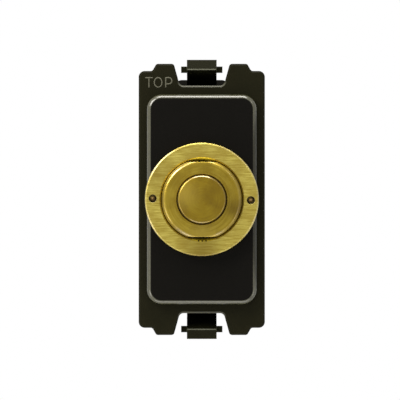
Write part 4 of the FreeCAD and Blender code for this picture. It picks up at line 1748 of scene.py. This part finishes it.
@dataclass
class Studio:
    """Camera, lamps, pale surroundings and a pale floor below the module, in metres."""

    camera_distance: float = 1.6
    camera_clip: tuple[float, float] = (0.01, 20.0)
    frame_width: float = 79.27 * MM
    sensor: float = 36.0
    centre_offset: tuple[float, float] = (-0.351 * MM, -0.119 * MM)
    floor_depth: float = -0.09
    floor_radius: float = 0.40
    floor_segments: int = 96
    floor_tone: tuple[float, float, float, float] = (0.86, 0.86, 0.85, 1.0)
    fade_start: float = 0.12
    fade_end: float = 0.38
    whiteness: float = 0.8
    ambient: float = 0.34
    ambient_tone: Tone = Tone(255, 253, 250)
    lamps: tuple[Lamp, ...] = (
        Lamp("top_box", (0.0, -0.12, 0.32), (0.24, 0.17), 12.0),
        Lamp("left_key", (-0.20, -0.19, 0.17), (0.15, 0.15), 14.0),
        Lamp("right_key", (0.20, -0.19, 0.17), (0.05, 0.05), 6.0),
        Lamp("left_low", (-0.13, -0.10, -0.06), (0.06, 0.06), 4.5),
        Lamp("right_low", (0.13, -0.10, -0.06), (0.05, 0.05), 2.5),
        Lamp("low_card", (0.0, -0.035, -0.08), (0.10, 0.03), 2.5),
    )

    def set_camera(self) -> None:
        """Looks straight at the front, as wide as the picture's frame at the flange."""
        camera = bpy.data.cameras.new("front_camera")
        camera.sensor_width = self.sensor
        camera.lens = self.sensor * self.camera_distance / self.frame_width
        camera.clip_start, camera.clip_end = self.camera_clip
        viewer = bpy.data.objects.new("front_camera", camera)
        viewer.location = (self.centre_offset[0], -self.camera_distance, self.centre_offset[1])
        viewer.rotation_euler = (math.pi / 2, 0.0, 0.0)
        bpy.context.scene.collection.objects.link(viewer)
        bpy.context.scene.camera = viewer

    @staticmethod
    def seen_directly(bench: Bench) -> Socket:
        """Marks what the camera, a reflection or clear glass sees.

        Args:
            bench: The material or the world.

        Returns:
            A mask that is 1 there.
        """
        path = bench.place("LightPath").outputs
        seen = bench.math("MAXIMUM", path["Is Camera Ray"], path["Is Glossy Ray"])
        return bench.math("MAXIMUM", seen, path["Is Transmission Ray"])

    def set_surroundings(self) -> None:
        """White where they are seen, softer where they only light the module."""
        world = bpy.data.worlds.new("pale_surroundings")
        bpy.context.scene.world = world
        bench = Bench(emptied(world))
        soft = bench.place("Background", {0: self.ambient_tone, 1: self.ambient}).outputs[0]
        white = bench.place("Background", {0: WHITE, 1: 1.0}).outputs[0]
        bench.place("OutputWorld", {0: bench.choose(self.seen_directly(bench), soft, white)})

    def paper(self) -> Material:
        """Paper that is mostly white where it is seen, and still takes a shadow.

        It fades into the white surroundings towards its edge, and seen from below it is clear.

        Returns:
            The material.
        """
        material = bpy.data.materials.new("studio_paper")
        bench = Bench(emptied(material))
        matt = bench.place("BsdfDiffuse", {0: self.floor_tone}).outputs[0]
        glow = bench.place("Emission", {0: WHITE, 1: 1.0}).outputs[0]
        reach = bench.measure("LENGTH", bench.place("TexCoord").outputs["Object"])
        fade = bench.ramp(reach, self.fade_start, self.fade_end, "SMOOTHSTEP")
        share = bench.stretch(fade, self.whiteness, 1.0)
        seen = bench.math("MULTIPLY", self.seen_directly(bench), share)
        below = bench.place("NewGeometry").outputs["Backfacing"]
        clear = bench.place("BsdfTransparent").outputs[0]
        shown = bench.choose(below, bench.choose(seen, matt, glow), clear)
        bench.place("OutputMaterial", {0: shown})
        return material

    def lay_floor(self) -> None:
        """A round floor, from its centre to its radius times (cos t, sin t)."""
        turn = once_round(self.floor_segments)
        reach = np.array([[0.0], [self.floor_radius]])
        places = np.broadcast_arrays(reach * np.cos(turn), reach * np.sin(turn), self.floor_depth)
        floor = raise_surface("studio_floor", np.stack(places, axis=-1))
        if floor.data.polygons[0].normal.z < 0:
            floor.data.flip_normals()
        floor.data.materials.append(self.paper())

    def set_up(self) -> None:
        """Sets the view, the light and the surroundings."""
        bpy.context.scene.view_settings.view_transform = "Standard"
        self.set_camera()
        self.set_surroundings()
        self.lay_floor()
        for lamp in self.lamps:
            lamp.hang()


SPRINGS = (
    CoilSpring(
        name="return_coil",
        node="return_spring",
        body=Body.MODULE,
        coil_radius=4.95,
        wire_radius=0.275,
        active_turns=3,
        travel=2.2,
        held=End.BACK,
    ),
    CoilSpring(
        name="contact_coil",
        node="contact_spring",
        body=Body.PUSH,
        coil_radius=2.3,
        wire_radius=0.2,
        active_turns=2,
        travel=0.62,
        held=End.FRONT,
    ),
)
RIDGES = (
    LatchRidge("top_ridge", Body.UPPER_LATCH, height=25.75),
    LatchRidge("bottom_ridge", Body.LOWER_LATCH, height=-25.75),
)
CONTACTS = (
    "top_moving_contact",
    "bottom_moving_contact",
    "top_fixed_contact",
    "bottom_fixed_contact",
)
WORKS: tuple[tuple[Finish, tuple[str, ...]], ...] = (
    (NYLON, ("pusher", "guide_cap")),
    (FIBRE, ("bush_washer",)),
    (SILVER, CONTACTS),
    (COPPER, ("contact_bridge", "top_strap", "bottom_strap")),
    (TERMINAL_BRASS, ("top_terminal_block", "bottom_terminal_block", "strap_stakes")),
    (ZINC_PLATE, ("terminal_screws",)),
)


@dataclass
class Module:
    """The whole switch module: its solids in their finishes and its added pieces."""

    nodes: dict
    shelf: EffectShelf

    def dress_shell(self) -> None:
        """Finishes the frame, the housing and the latches, and adds their marks and ridges."""
        dress(self.nodes, ("front_frame",), FRAME_BLACK.make(self.shelf))
        dress(self.nodes, ("rear_housing",), HOUSING_BLACK.make(self.shelf))
        dress(self.nodes, ("top_latch", "bottom_latch"), LATCH_BLACK.make(self.shelf))
        # The raised marks take a lighter grey, a painted highlight.
        mark_highlit = MARK_HIGHLIT.make(self.shelf)
        ring_black = RING_BLACK.make(self.shelf)
        for mark, material in (
            (OrientationMark(), mark_highlit),
            (TerminalNumbers(), mark_highlit),
            (EjectorRings(), ring_black),
        ):
            mark.dress(mark.build(), material)
        # The ridges take a lighter grey, a painted highlight.
        ridge_highlit = RIDGE_HIGHLIT.make(self.shelf)
        for ridge in RIDGES:
            ridge.dress(ridge.build(), ridge_highlit)

    def dress_push(self) -> None:
        """Finishes the nut and makes the bush and the button."""
        nut_brass = NUT_BRASS.make(self.shelf)
        dress(self.nodes, ("ring_nut",), nut_brass)
        thread = NutThread()
        thread.dress(thread.build(), nut_brass)
        bush = BushBody()
        bush.dress(bush.build(), BUSH_BRASS.make(self.shelf))
        cap = ButtonCap()
        cap.dress(cap.build(), BUTTON_BRASS.make(self.shelf))

    def dress_works(self) -> None:
        """Finishes the pieces of the mechanism and the terminals."""
        spring_steel = SPRING_STEEL.make(self.shelf)
        for spring in SPRINGS:
            spring.dress(spring.build(), spring_steel)
        dress(self.nodes, ("guide_ring", "bridge_clip"), spring_steel)
        for finish, names in WORKS:
            dress(self.nodes, names, finish.make(self.shelf))


def main() -> None:
    """Builds and dresses the module in its studio."""
    logging.basicConfig(level=logging.INFO, format="%(name)s: %(message)s")
    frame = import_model()
    module = Module(frame["nodes"], EffectShelf())
    module.dress_shell()
    module.dress_push()
    module.dress_works()
    Studio().set_up()


if __name__ == "__main__":
    main()
